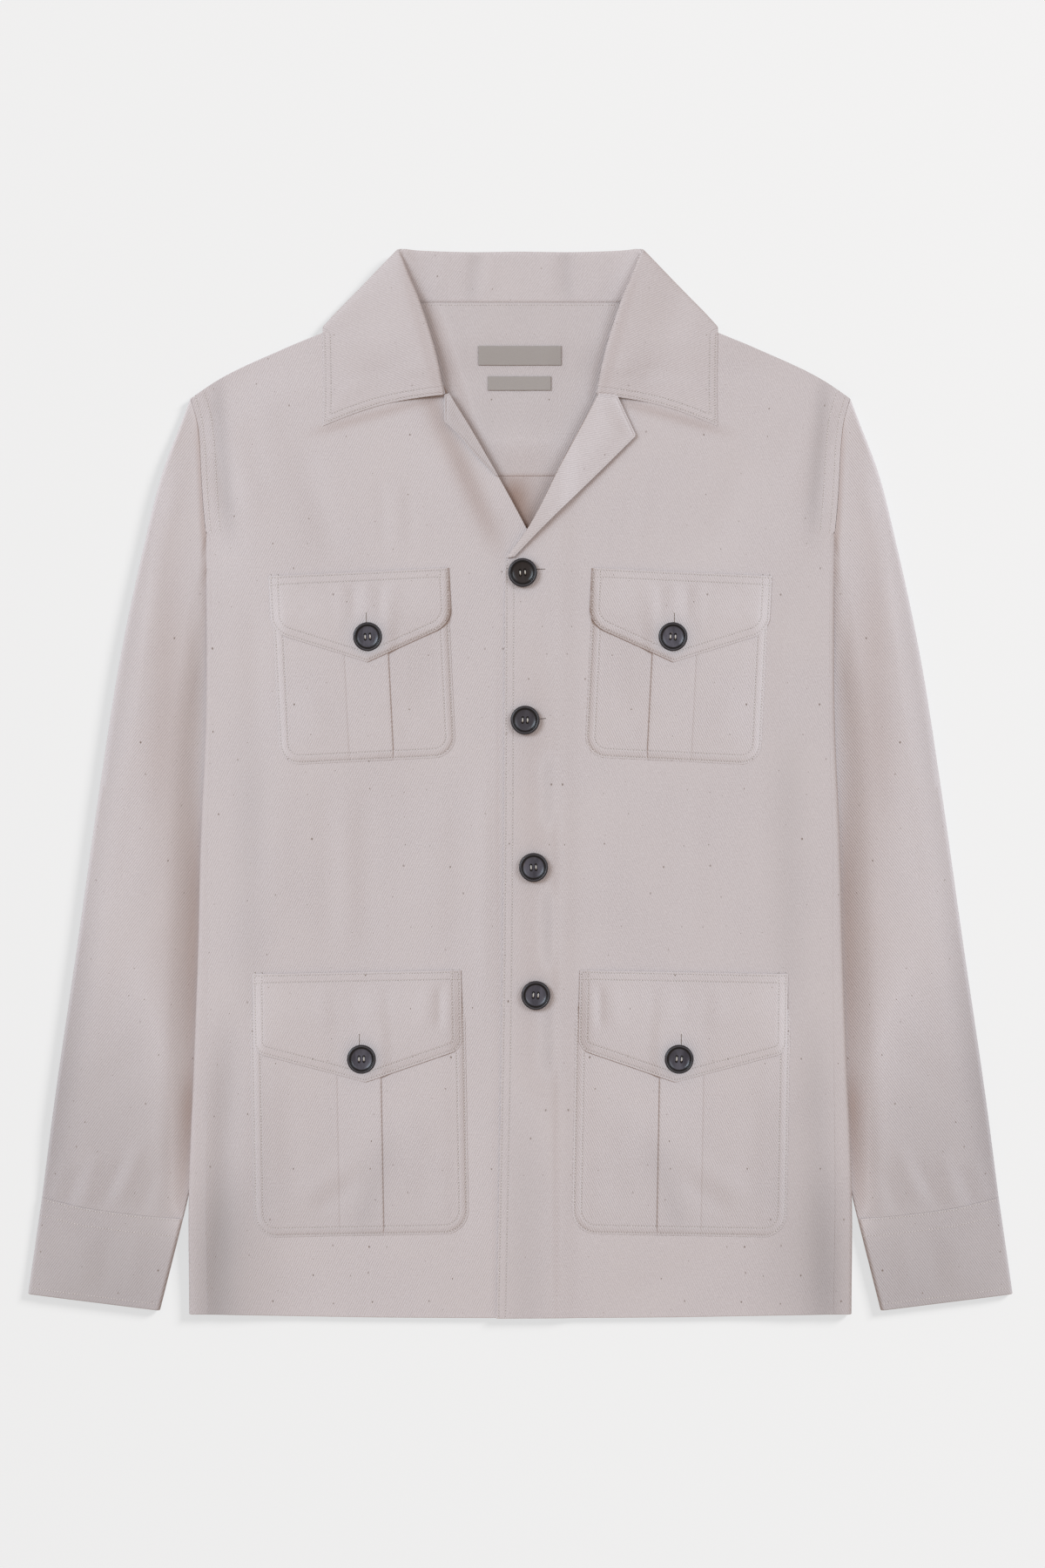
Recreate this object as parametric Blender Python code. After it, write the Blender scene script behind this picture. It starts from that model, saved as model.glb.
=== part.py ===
"""Utility jacket of cream cotton drill, laid out flat on its back with the front up.

The jacket lies on z = 0 with the collar towards +Y and the wearer's left towards +X.
Each cut piece is one sheet or tube of cloth with its own thickness. The back and the sleeves
lie on the surface, the sides of the body lie on the sleeves, the fronts lie on the back, and
pockets, flaps, lapels, collar and buttons lie on the fronts.
"""
import math
from collections import namedtuple

import bmesh
import bpy
import numpy as np

JACKET = "jacket"

# The sizes below are in millimetres
MM = 0.001

# Cloth and the gaps between pieces
CLOTH = 1.2
DOUBLE = 2.2
CUFF_CLOTH = 2.0
LABEL_TAPE = 1.0
SEAM = 0.3
LAY = 0.6
WELD = 0.02

# Heights where layers cross
AIR = 2.0
HEM_AIR = 0.6
SLEEVE_FLAT = 2 * CLOTH + LAY
SLEEVE_SWELL = 3.1
SWELL_RAMP = 26.0
TUCK_LIFT = SLEEVE_FLAT + 1.6 * LAY
TUCK_RAMP = 26.0
FRONT_RAMP = 110.0
SIDE_ROLL = 3.0
COLLAR_LIFT = DOUBLE + LAY
FALL_TOP_Y = 318.0
FALL_RAMP = 9.0
FALL_SIDE_RAMP = 16.2
FALL_HALF_WIDTH = 143.0
FRONT_EASE = 3.4

# Widths over which a front comes down to its edges
ARMPIT_EASE = 50.0
ARMHOLE_EASE = 36.0
SHOULDER_EASE = 40.0
HEM_EASE = 60.0

# Body
HEM_Y = -377.0
HEM_DROP = 3.0
ARMPIT_Y = 178.6
YOKE_SEAM_Y = 218.9
NECK_SEAM_Y = 342.0
NECK_POINT = (80.0, 349.5)
SHOULDER_POINT = (234.4, 274.0)
SHOULDER_LINE = (NECK_POINT, (141.0, 320.6), (168.0, 309.6), (220.4, 284.0), SHOULDER_POINT)

# Front overlap: the left front lies on the right one
OVERLAP_KNEE = (-13.0, -160.0)
OVERLAP_HEM = (-17.0, HEM_Y - HEM_DROP)
UNDERLAP_EDGE_X = 22.0
UNDERLAP_KNEE = (UNDERLAP_EDGE_X, -160.0)
UNDERLAP_HEM = (UNDERLAP_EDGE_X, HEM_Y - HEM_DROP)
OVERLAP_MARGIN = 5.0
OVERLAP_RAMP = 16.0
BREAK_POINT = (-10.9, 158.0)
V_POINT = (4.4, 180.4)

# Places of the columns across a front, closest where one front climbs on to the other
FRONT_COLUMNS = (0.0, 0.08, 0.17, 0.245, 0.34, 0.45, 0.56, 0.67, 0.78, 0.89, 1.0)

# Heights of the rows up the back, closest where the sleeve's fold turns out to the armpit
BACK_ROWS = (HEM_Y, -330.0, -291.0, -205.0, -110.0, -20.0, 50.0, 84.0, 110.0, 134.0, 156.0, ARMPIT_Y - 3.0)

# Places of the rows up the yoke, closest where it climbs on to the fall of the collar
YOKE_ROWS = (0.0, 0.3, 0.56, 0.74, 0.79, 0.84, 0.89, 1.0)

SideRow = namedtuple("SideRow", "y half_width seam_inset")
BODY_SIDE = (
    SideRow(-377.0, 235.6, 14.0),
    SideRow(-291.0, 235.6, 13.0),
    SideRow(-205.0, 232.2, 10.5),
    SideRow(-110.0, 228.8, 8.0),
    SideRow(-50.0, 227.4, 6.5),
    SideRow(48.0, 223.4, 5.0),
    SideRow(178.6, 223.5, 4.5),
)

ArmholeRow = namedtuple("ArmholeRow", "y x")
ARMHOLE = (
    ArmholeRow(178.6, 223.5),
    ArmholeRow(198.4, 225.4),
    ArmholeRow(215.8, 226.6),
    ArmholeRow(244.9, 228.5),
    ArmholeRow(258.2, 230.1),
    ArmholeRow(274.0, 234.4),
)

# Inner fold of the sleeve, which is tucked under the side of the body
TuckRow = namedtuple("TuckRow", "y x")
TUCK = (
    TuckRow(-377.0, 256.0),
    TuckRow(-290.0, 235.4),
    TuckRow(110.0, 141.0),
    TuckRow(178.6, 223.5),
    TuckRow(240.0, 297.0),
)

SleeveRow = namedtuple("SleeveRow", "outer_x outer_y")
SLEEVE_OUTER = (
    SleeveRow(340.4, -293.9),
    SleeveRow(331.0, -223.0),
    SleeveRow(314.7, -111.6),
    SleeveRow(298.8, 0.0),
    SleeveRow(284.0, 93.0),
    SleeveRow(268.2, 167.4),
    SleeveRow(254.0, 223.2),
    SleeveRow(240.0, 260.4),
    SleeveRow(234.9, 274.0),
)
ARMPIT_TUCK = (141.0, 110.0)
CUFF_SEAM = ((240.0, -309.4), (279.3, -305.5), (310.6, -301.0), (340.4, -293.9))
CUFF_HEM = ((256.4, -374.5), (350.3, -362.7))
CUFF_HEIGHT = 5.2
CUFF_WAY = (0.4, -1.0)

# Inner edges of the fronts above the overlap: roll line of the lapel, then the neckline
ROLL_LEFT = (BREAK_POINT, V_POINT, (29.4, 228.5), (54.3, 276.5))
ROLL_RIGHT = ((20.0, 152.0), (14.0, 163.7), (-15.2, 218.2), (-37.8, 257.3), (-53.6, 282.0))
NECKLINE = ((66.0, 309.0), (76.0, 333.0), NECK_POINT)

# Lapels, from the notch round the tip and down to where the edge meets the roll line
LAPEL_LEFT_NOTCH = ((54.6, 274.6), (69.6, 270.4))
LAPEL_LEFT_TIP = (82.2, 247.4)
LAPEL_LEFT_EDGE = (LAPEL_LEFT_TIP, (57.3, 222.7), (14.0, 180.4), (-4.6, 161.0))
LAPEL_LEFT_ROLL = ((-10.2, 160.4), V_POINT, (29.4, 228.5), (54.6, 274.6))
LAPEL_LEFT_RISE = 2.4
LAPEL_RIGHT_NOTCH = ((-49.0, 274.4), (-52.5, 274.2))
LAPEL_RIGHT_TIP = (-53.9, 257.3)
LAPEL_RIGHT_EDGE = (LAPEL_RIGHT_TIP, (-44.3, 248.2), (-34.4, 236.5), (-17.6, 219.0))
LAPEL_RIGHT_ROLL = ((-15.4, 218.4), (-25.7, 236.5), (-37.8, 257.3), (-49.0, 274.4))
LAPEL_RIGHT_RISE = 1.2
LAPEL_ROLL_WIDTH = 26.0

# One half of the collar, from the front end of the leaf to the middle of the back.
# turn 0: the fall lies on the front; turn 1: it lies under the yoke.
# roll is the middle of the cloth at the crest of the roll, facing is where outwards points, in degrees.
CollarRow = namedtuple("CollarRow", "seam_x seam_y roll_x roll_y roll_z edge_x edge_y bow facing turn")
COLLAR = (
    CollarRow(64.0, 273.5, 54.3, 276.5, 8.2, 140.4, 254.2, 4.2, -15.0, 0.0),
    CollarRow(74.5, 307.0, 62.3, 311.2, 10.4, 140.0, 279.0, 1.5, -10.0, 0.0),
    CollarRow(82.0, 333.0, 72.9, 342.2, 11.6, 140.2, 303.8, 0.0, 5.0, 0.0),
    CollarRow(77.5, 351.5, 79.5, 358.0, 11.4, 140.8, 316.5, 0.0, 25.0, 0.0),
    CollarRow(74.5, 350.0, 84.2, 371.0, 10.2, 143.6, 323.6, 0.0, 38.0, 0.1),
    CollarRow(71.0, 348.5, 86.2, 377.2, 8.6, 144.0, 326.0, 0.0, 48.0, 0.5),
    CollarRow(67.5, 347.6, 82.5, 379.0, 5.6, 142.0, 327.0, 0.0, 60.0, 0.93),
    CollarRow(60.0, 343.4, 70.0, 378.2, 2.7, 121.0, 330.0, 0.0, 78.0, 1.0),
    CollarRow(37.0, 342.6, 37.0, 377.2, 2.55, 60.0, 327.0, 0.0, 90.0, 1.0),
    CollarRow(0.0, 342.4, 0.0, 377.6, 2.55, 0.0, 326.0, 0.0, 90.0, 1.0),
)
ROLL_RADIUS = 1.45
LEAF_REST = 42.0
COLLAR_SEAM_LIFT = 1.5

# Pockets: centre line of the top edge of the flap, and sizes from there, with +x away from the middle
PocketRow = namedtuple(
    "PocketRow",
    "name x y tilt width depth corner mouth pleat_x pleat_width "
    "flap_width flap_side flap_point flap_point_x flap_corner button_x button_drop",
)
POCKETS = (
    PocketRow("chest", 114.6, 150.6, -2.8, 125.0, 134.5, 15.0, 16.0, -2.3, 30.5,
              128.0, 40.0, 64.5, -3.0, 11.0, -4.3, 46.7),
    PocketRow("hip", 116.0, -133.5, -1.0, 152.5, 187.5, 17.0, 17.0, 0.0, 30.5,
              148.0, 56.0, 78.5, -4.6, 7.0, -2.4, 61.5),
)
PLEAT = 1.4
PLEAT_FOLD = 1.2
FLAP_EASE = 26.0
FLAP_STEP = 3.0

# Buttons
BUTTON_RADIUS = 10.3
BUTTON_HEIGHT = 4.2
BUTTON_HOLE_RADIUS = 1.0
BUTTON_HOLE_OFFSET = 1.9
BUTTON_SIDES = 18
BUTTON_CREASE = 40.0
HOLE_SIDES = 6
FRONT_BUTTONS = ((1.7, 150.0), (3.4, 45.3), (9.4, -59.2), (11.0, -150.0))

# Points under a button that it can rest on: its middle and a ring near its edge
SEAT_RING = [(math.cos(turn), math.sin(turn)) for turn in np.linspace(0.0, 2 * math.pi, 9)]
SEAT = BUTTON_RADIUS * np.array([(0.0, 0.0)] + SEAT_RING)

# Labels on the inside of the yoke
LabelRow = namedtuple("LabelRow", "name x y width height")
LABELS = (
    LabelRow("label_neck", -0.4, 302.0, 59.0, 13.6),
    LabelRow("label_care", -0.6, 285.0, 45.0, 10.0),
)

# The largest soft folds of the fronts, each a ridge along a line
FoldRow = namedtuple("FoldRow", "x0 y0 x1 y1 half_width height")
FOLDS = (
    FoldRow(-62.0, 250.0, -8.0, 172.0, 13.0, 1.3),
    FoldRow(-150.0, 250.0, -190.0, 60.0, 34.0, 0.9),
    FoldRow(150.0, 250.0, 190.0, 60.0, 34.0, 0.9),
    FoldRow(-60.0, 0.0, -56.0, -110.0, 30.0, 0.8),
    FoldRow(72.0, 10.0, 60.0, -110.0, 30.0, 0.8),
)

MATERIALS = {
    "drill": ((0.585, 0.525, 0.515, 1.0), 0.92),
    "label_tape": ((0.42, 0.385, 0.365, 1.0), 0.85),
    "horn": ((0.022, 0.022, 0.024, 1.0), 0.28),
}


def clear_scene():
    for item in list(bpy.data.objects):
        bpy.data.objects.remove(item, do_unlink=True)
    bpy.context.scene.collection.objects.link(bpy.data.objects.new(JACKET, None))


def make_materials():
    made = {}
    for name, (colour, roughness) in MATERIALS.items():
        material = bpy.data.materials.new(name)
        material.use_nodes = True
        shader = material.node_tree.nodes["Principled BSDF"]
        shader.inputs["Base Color"].default_value = colour
        shader.inputs["Roughness"].default_value = roughness
        shader.inputs["Metallic"].default_value = 0.0
        made[name] = material
    return made


def smoothstep(value):
    value = np.clip(value, 0.0, 1.0)
    return value * value * (3.0 - 2.0 * value)


def column(table, name, at):
    """A column of a table at any height, with a smooth curve through its rows."""
    knots = np.array([row.y for row in table], float)
    values = np.array([getattr(row, name) for row in table], float)
    return hermite(knots, values, at)


def hermite(knots, values, at):
    at = np.clip(np.asarray(at, float), knots[0], knots[-1])
    slopes = np.gradient(values, knots)
    low = np.clip(np.searchsorted(knots, at) - 1, 0, len(knots) - 2)
    span = knots[low + 1] - knots[low]
    t = (at - knots[low]) / span
    return (
        (2 * t**3 - 3 * t**2 + 1) * values[low]
        + (t**3 - 2 * t**2 + t) * span * slopes[low]
        + (3 * t**2 - 2 * t**3) * values[low + 1]
        + (t**3 - t**2) * span * slopes[low + 1]
    )


def curve(points, steps):
    """Points along a smooth line through a few points, at even distances or at given shares."""
    points = np.array(points, float)
    reach = np.concatenate(([0.0], np.cumsum(np.linalg.norm(np.diff(points, axis=0), axis=1))))
    shares = np.linspace(0.0, 1.0, steps + 1) if np.ndim(steps) == 0 else np.asarray(steps)
    at = shares * reach[-1]
    if len(points) == 2:
        return points[0] + (points[1] - points[0]) * (at / reach[-1])[:, None]
    return np.stack([hermite(reach, points[:, axis], at) for axis in range(points.shape[1])], axis=1)


def chain(*legs):
    """One line from several that follow each other."""
    return np.concatenate([legs[0]] + [leg[1:] for leg in legs[1:]])


def coons(bottom, top, left, right, columns=None, rows=None):
    """A grid of points between four edges, [row from bottom to top][column from left to right].

    columns and rows are the places of uneven ones along the edges, from 0 to 1.
    """
    u = np.linspace(0.0, 1.0, len(bottom)) if columns is None else np.asarray(columns)
    v = np.linspace(0.0, 1.0, len(left)) if rows is None else np.asarray(rows)
    u, v = u[None, :, None], v[:, None, None]
    across = (1 - u) * left[:, None] + u * right[:, None]
    along = (1 - v) * bottom[None] + v * top[None]
    corners = (1 - v) * ((1 - u) * bottom[0] + u * bottom[-1]) + v * ((1 - u) * top[0] + u * top[-1])
    return across + along - corners


def lift(grid, heights):
    return np.concatenate([grid, heights[..., None]], axis=-1)


def mirror(points):
    return np.asarray(points, float) * np.array([-1.0] + [1.0] * (np.shape(points)[-1] - 1))


# Heights of the layers

def side_x(y):
    """Half the width of the body: its side below the armpit, its armhole above."""
    body = column(BODY_SIDE, "half_width", y)
    armhole = column(ARMHOLE, "x", y)
    return np.where(np.asarray(y) > ARMPIT_Y, armhole, body)


def tuck_x(y):
    return np.interp(y, [row.y for row in TUCK], [row.x for row in TUCK])


def over_collar_fall(x, y, ease=1.0):
    """How far the fall of the collar lifts what lies on it; a larger ease spreads the slope."""
    along = smoothstep((np.asarray(y) - FALL_TOP_Y + FALL_RAMP * ease) / (FALL_RAMP * ease))
    across = 1.0 - smoothstep((np.abs(x) - FALL_HALF_WIDTH) / (FALL_SIDE_RAMP * ease))
    return COLLAR_LIFT * along * across


def back_under(x, y):
    """Underside of the back and the yoke: on the surface, or on the sleeve or the collar's fall."""
    tuck = smoothstep((np.abs(x) - tuck_x(y) + TUCK_RAMP) / TUCK_RAMP)
    return TUCK_LIFT * tuck + over_collar_fall(x, y)


def folds(x, y):
    total = np.zeros(np.shape(x))
    for fold in FOLDS:
        along = np.array([fold.x1 - fold.x0, fold.y1 - fold.y0])
        length = np.hypot(*along)
        along = along / length
        run = (x - fold.x0) * along[0] + (y - fold.y0) * along[1]
        off = -(x - fold.x0) * along[1] + (y - fold.y0) * along[0]
        ends = smoothstep(run / (0.3 * length)) * smoothstep((length - run) / (0.3 * length))
        total = total + fold.height * ends * np.exp(-((off / fold.half_width) ** 2))
    return total


def shoulder_y(x):
    points = np.array(SHOULDER_LINE)
    return np.interp(np.abs(x), points[:, 0], points[:, 1])


def front_under(x, y):
    """Underside of a front, with the air that the cloth holds under it."""
    tuck = smoothstep((np.abs(x) - tuck_x(y) + FRONT_RAMP) / FRONT_RAMP)
    above_armpit = smoothstep((y - ARMPIT_Y + ARMPIT_EASE) / ARMPIT_EASE)
    by_armhole = smoothstep((side_x(y) - np.abs(x)) / ARMHOLE_EASE)
    by_shoulder = smoothstep((shoulder_y(x) - y) / SHOULDER_EASE)
    by_hem = smoothstep((y - HEM_Y) / HEM_EASE)
    air = HEM_AIR + (AIR - HEM_AIR) * by_hem
    air = air * (1 - above_armpit * (1 - by_armhole)) * by_shoulder
    lifted = TUCK_LIFT * tuck + over_collar_fall(x, y, FRONT_EASE)
    return CLOTH + LAY + air + lifted + folds(x, y) * by_shoulder


def overlap_lift(x):
    return (CLOTH + LAY) * (1 - smoothstep((x - UNDERLAP_EDGE_X - OVERLAP_MARGIN) / OVERLAP_RAMP))


def front_top(side, x, y):
    under = front_under(x, y)
    if side > 0:
        under = under + overlap_lift(x)
    return under + CLOTH


# Building meshes

def add_item(name, mesh):
    """An object under the jacket's own empty."""
    item = bpy.data.objects.new(name, mesh)
    item.parent = bpy.data.objects[JACKET]
    bpy.context.scene.collection.objects.link(item)
    return item


def add_sheet(name, patches, thickness, material):
    """Cloth from one or more grids of points that share their edges, thickened inwards or up."""
    mesh = bpy.data.meshes.new(name)
    shape = bmesh.new()
    for points, closed in patches:
        rows, columns = points.shape[:2]
        verts = [[shape.verts.new(points[r, c] * MM) for c in range(columns)] for r in range(rows)]
        last = columns if closed else columns - 1
        for r in range(rows - 1):
            for c in range(last):
                n = (c + 1) % columns
                shape.faces.new((verts[r][c], verts[r][n], verts[r + 1][n], verts[r + 1][c]))
    bmesh.ops.remove_doubles(shape, verts=shape.verts, dist=WELD * MM)
    shape.to_mesh(mesh)
    shape.free()
    mesh.materials.append(material)
    item = add_item(name, mesh)
    wall = item.modifiers.new("cloth", "SOLIDIFY")
    wall.thickness = thickness * MM
    wall.offset = 1.0
    wall.use_even_offset = True
    return item


# The cut pieces

def front_grid(side):
    """Columns run from the middle of the front to the side, rows from the hem to the shoulder."""
    rows_low, rows_high = 13, 7
    ys = np.linspace(HEM_Y, ARMPIT_Y - 3.0, rows_low + 1)
    seam_x = column(BODY_SIDE, "half_width", ys) - column(BODY_SIDE, "seam_inset", ys) - 1.5 * SEAM
    side_seam = np.stack([seam_x, ys], axis=1)
    armhole_y = np.linspace(ARMPIT_Y + 1.0, SHOULDER_POINT[1], rows_high)
    armhole = np.stack([column(ARMHOLE, "x", armhole_y) - SEAM, armhole_y], axis=1)
    outer = np.concatenate([side_seam, armhole])
    if side > 0:
        edge = curve((OVERLAP_HEM, OVERLAP_KNEE, BREAK_POINT), rows_low)
        roll = ROLL_LEFT
        neckline = NECKLINE
    else:
        edge = curve((UNDERLAP_HEM, UNDERLAP_KNEE, ROLL_RIGHT[0]), rows_low)
        roll = ROLL_RIGHT
        neckline = mirror(NECKLINE)
    inner = chain(edge, curve(tuple(roll) + tuple(map(tuple, neckline)), rows_high))
    shoulder = curve(SHOULDER_LINE, FRONT_COLUMNS)
    if side < 0:
        outer = mirror(outer)
        shoulder = mirror(shoulder)
    shoulder[-1] = outer[-1]
    hem = curve((inner[0], (side * 120.0, HEM_Y - 0.7 * HEM_DROP), outer[0]), FRONT_COLUMNS)
    return coons(hem, shoulder, inner, outer, FRONT_COLUMNS)


def make_front(name, side, material):
    grid = front_grid(side)
    x, y = grid[..., 0], grid[..., 1]
    points = lift(grid, front_top(side, x, y) - CLOTH)
    if side < 0:
        points = points[:, ::-1]
    return add_sheet(name, [(points, False)], CLOTH, material)


def back_columns(y):
    """Places across one half of the back, closest where it climbs on to the sleeve."""
    width = side_x(y)
    ramp_end = min(tuck_x(y), width - 2 * SIDE_ROLL)
    ramp_start = ramp_end - TUCK_RAMP
    flat = [ramp_start * share for share in (0.0, 0.35, 0.7, 1.0)]
    ramp = [ramp_start + TUCK_RAMP * share for share in (0.35, 0.65, 1.0)]
    return flat + ramp + [0.5 * (ramp_end + width - SIDE_ROLL), width - SIDE_ROLL]


def make_back(material):
    """The sheet on the surface, and at each side the roll up and over to the side seam."""
    low_rows = np.array(BACK_ROWS)
    high_rows = np.array([192.0, YOKE_SEAM_Y - SEAM])
    sheet_rows = []
    for y in np.concatenate([low_rows, high_rows]):
        half = np.array(back_columns(y))
        if y > ARMPIT_Y:
            half[-2:] = (0.5 * (half[-3] + side_x(y) - SEAM), side_x(y) - SEAM)
        xs = np.concatenate([-half[:0:-1], half])
        drop = HEM_DROP * (1 - (xs / half[-1]) ** 2) if y == HEM_Y else 0.0
        ys = np.full(len(xs), y) - drop
        sheet_rows.append(np.stack([xs, ys, back_under(xs, ys)], axis=1))
    patches = [(np.array(sheet_rows), False)]
    for side in (-1, 1):
        roll_rows = []
        for y in low_rows:
            half = back_columns(y)
            width = side_x(y)
            seam_x = width - column(BODY_SIDE, "seam_inset", y)
            start = np.array([half[-1], back_under(half[-1], y)])
            top = front_top(side, side * seam_x, y)
            radius = 0.5 * (top - start[1])
            arc = [
                (width - SIDE_ROLL + SIDE_ROLL * math.cos(turn), start[1] + radius * (1 + math.sin(turn)))
                for turn in np.radians((-50.0, -10.0, 30.0, 90.0))
            ]
            section = [tuple(start)] + arc + [(seam_x, top)]
            roll_rows.append([(side * x, y, z) for x, z in section])
        points = np.array(roll_rows)
        patches.append((points if side > 0 else points[:, ::-1], False))
    return add_sheet("back", patches, CLOTH, material)


def make_yoke(material):
    side_rows = YOKE_SEAM_Y + (SHOULDER_POINT[1] - 1.0 - YOKE_SEAM_Y) * np.array(YOKE_ROWS)
    right = np.stack([column(ARMHOLE, "x", side_rows) - SEAM, side_rows], axis=1)
    bottom = curve((mirror([right[0]])[0], right[0]), 16)
    shoulder = curve(SHOULDER_LINE, 5)
    shoulder[-1] = right[-1]
    neck = curve((NECK_POINT, (58.0, NECK_SEAM_Y - 0.6), (0.0, NECK_SEAM_Y - 1.0),
                  (-58.0, NECK_SEAM_Y - 0.6), mirror([NECK_POINT])[0]), 6)
    top = chain(mirror(shoulder[::-1]), neck[::-1], shoulder)
    grid = coons(bottom, top, mirror(right), right, rows=YOKE_ROWS)
    points = lift(grid, back_under(grid[..., 0], grid[..., 1]))
    return add_sheet("yoke", [(points, False)], CLOTH, material)


def tube_rows(grid, top_height):
    """Closed rings round a flattened tube, from a grid of its outline, inner fold to outer fold."""
    arc = np.radians((-60.0, -20.0, 20.0, 60.0))
    rings = []
    for row in grid:
        heights = top_height(row[:, 0], row[:, 1])
        ends = []
        for end, near in ((0, 1), (-1, -2)):
            out = (row[end] - row[near]) / np.linalg.norm(row[end] - row[near])
            radius = 0.5 * heights[end]
            centre = row[end] - out * radius
            ends.append([(*(centre + out * radius * math.cos(a)), radius * (1 + math.sin(a))) for a in arc])
        flat = row.copy()
        flat[0] = row[0] + (row[1] - row[0]) / np.linalg.norm(row[1] - row[0]) * 0.5 * heights[0]
        flat[-1] = row[-1] + (row[-2] - row[-1]) / np.linalg.norm(row[-2] - row[-1]) * 0.5 * heights[-1]
        under = [(*point, 0.0) for point in flat]
        over = [(*point, height) for point, height in zip(flat, heights)][::-1]
        rings.append(under + ends[1] + over + ends[0][::-1])
    return np.array(rings)


def sleeve_top(x, y):
    swell = smoothstep((np.abs(x) - side_x(y) - SIDE_ROLL) / SWELL_RAMP)
    return SLEEVE_FLAT + SLEEVE_SWELL * swell


def sleeve_grid():
    rows, hidden, seen = 13, 3, 4
    inner = curve((CUFF_SEAM[0], (235.4, -290.0), ARMPIT_TUCK), rows)
    outer = curve([(row.outer_x, row.outer_y) for row in SLEEVE_OUTER], rows)
    armhole_y = np.linspace(ARMPIT_Y, SHOULDER_POINT[1], seen + 1)
    armhole = np.stack([column(ARMHOLE, "x", armhole_y), armhole_y], axis=1)
    armhole[-1] = outer[-1]
    top = chain(curve((ARMPIT_TUCK, armhole[0]), hidden), armhole)
    return coons(curve(CUFF_SEAM, hidden + seen), top, inner, outer)


def make_sleeve(name, side, material):
    rings = tube_rows(sleeve_grid(), sleeve_top)
    if side < 0:
        rings = mirror(rings)[:, ::-1]
    return add_sheet(name, [(rings, True)], CLOTH, material)


def make_cuff(name, side, material):
    seam = curve(CUFF_SEAM, 6) + np.array(CUFF_WAY) * SEAM
    hem = curve(CUFF_HEM, 6)
    grid = coons(hem, seam, curve((hem[0], seam[0]), 2), curve((hem[-1], seam[-1]), 2))
    rings = tube_rows(grid, lambda x, y: np.full(np.shape(x), CUFF_HEIGHT))
    if side < 0:
        rings = mirror(rings)[:, ::-1]
    return add_sheet(name, [(rings, True)], CUFF_CLOTH, material)


def lapel_grid(notch, tip_edge, roll):
    """Rows run from the foot of the lapel to its notch, columns from the roll line to the edge."""
    down, across = 8, 4
    edge = chain(curve(tip_edge[::-1], down), curve((tip_edge[0], notch[1]), 2))
    return coons(curve((roll[0], edge[0]), across), curve(notch, across), curve(roll, down + 2), edge)


def make_lapel(name, side, grid, rise, material):
    x, y = grid[..., 0], grid[..., 1]
    from_roll = np.linalg.norm(grid - grid[:, :1], axis=-1)
    up_row = np.linspace(0.0, 1.0, grid.shape[0])[:, None]
    rolled = rise * smoothstep(1.4 * up_row) * (1 - smoothstep(from_roll / LAPEL_ROLL_WIDTH))
    points = lift(grid, front_top(side, x, y) + LAY + rolled)
    if side < 0:
        points = points[:, ::-1]
    return add_sheet(name, [(points, False)], DOUBLE, material)


def collar_section(row):
    """Middle of the cloth from the neck seam over the roll to the outer edge of the fall."""
    outwards = np.array([math.cos(math.radians(row.facing)), math.sin(math.radians(row.facing)), 0.0])
    up = np.array([0.0, 0.0, 1.0])
    rest = DOUBLE / 2

    def lying(x, y):
        on_front = front_top(1, np.abs(x), np.minimum(y, shoulder_y(x))) + LAY + rest
        return on_front * (1 - row.turn) + rest * row.turn

    crest = math.radians(180.0 * (1 - row.turn))
    roll = np.array([row.roll_x, row.roll_y, row.roll_z])
    centre = roll - ROLL_RADIUS * (math.cos(crest) * outwards + math.sin(crest) * up)
    arc = [
        centre + ROLL_RADIUS * (math.cos(crest + a) * outwards + math.sin(crest + a) * up)
        for a in np.radians((90.0, 45.0, 0.0, -45.0, -90.0))
    ]
    seam_z = float(front_top(1, row.seam_x, row.seam_y)) + COLLAR_SEAM_LIFT + rest
    seam_z = seam_z * (1 - row.turn) + (COLLAR_LIFT + rest) * row.turn
    seam = np.array([row.seam_x, row.seam_y, seam_z])
    section = [seam, 0.5 * (seam + arc[0])] + arc
    edge = np.array([row.edge_x, row.edge_y])
    start = arc[-1]
    for share in (0.17, 0.36, 0.57, 0.79, 1.0):
        flat = start[:2] + (edge - start[:2]) * share
        flat[1] += row.bow * math.sin(math.pi * share)
        ease = smoothstep(np.linalg.norm(flat - start[:2]) / LEAF_REST)
        height = start[2] * (1 - ease) + float(lying(flat[0], flat[1])) * ease
        section.append(np.array([*flat, height]))
    return section


def make_collar(material):
    knots = np.arange(len(COLLAR), dtype=float)
    steps = np.linspace(0.0, knots[-1], 2 * len(COLLAR) - 1)
    columns = [hermite(knots, np.array([getattr(row, name) for row in COLLAR], float), steps)
               for name in CollarRow._fields]
    half = []
    for values in zip(*columns):
        row = CollarRow(*values)
        half.append(collar_section(row._replace(turn=min(max(row.turn, 0.0), 1.0))))
    half = np.array(half)
    points = np.concatenate([half, mirror(half[-2::-1])])
    item = add_sheet("collar", [(points, False)], DOUBLE, material)
    item.modifiers["cloth"].offset = 0.0
    return item


def place(local, row, side):
    """From a pocket's own axes, origin at the middle of the flap's top edge, to the jacket's."""
    angle = math.radians(row.tilt)
    x = row.x + local[..., 0] * math.cos(angle) - local[..., 1] * math.sin(angle)
    y = row.y + local[..., 0] * math.sin(angle) + local[..., 1] * math.cos(angle)
    return np.stack([side * x, y], axis=-1)


def pleat_rise(local_x, row, ease):
    """Height of the box pleat, which falls away over the given width past its folds."""
    past = np.abs(local_x - row.pleat_x) - row.pleat_width / 2
    return PLEAT * (1 - smoothstep(past / ease))


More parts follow.
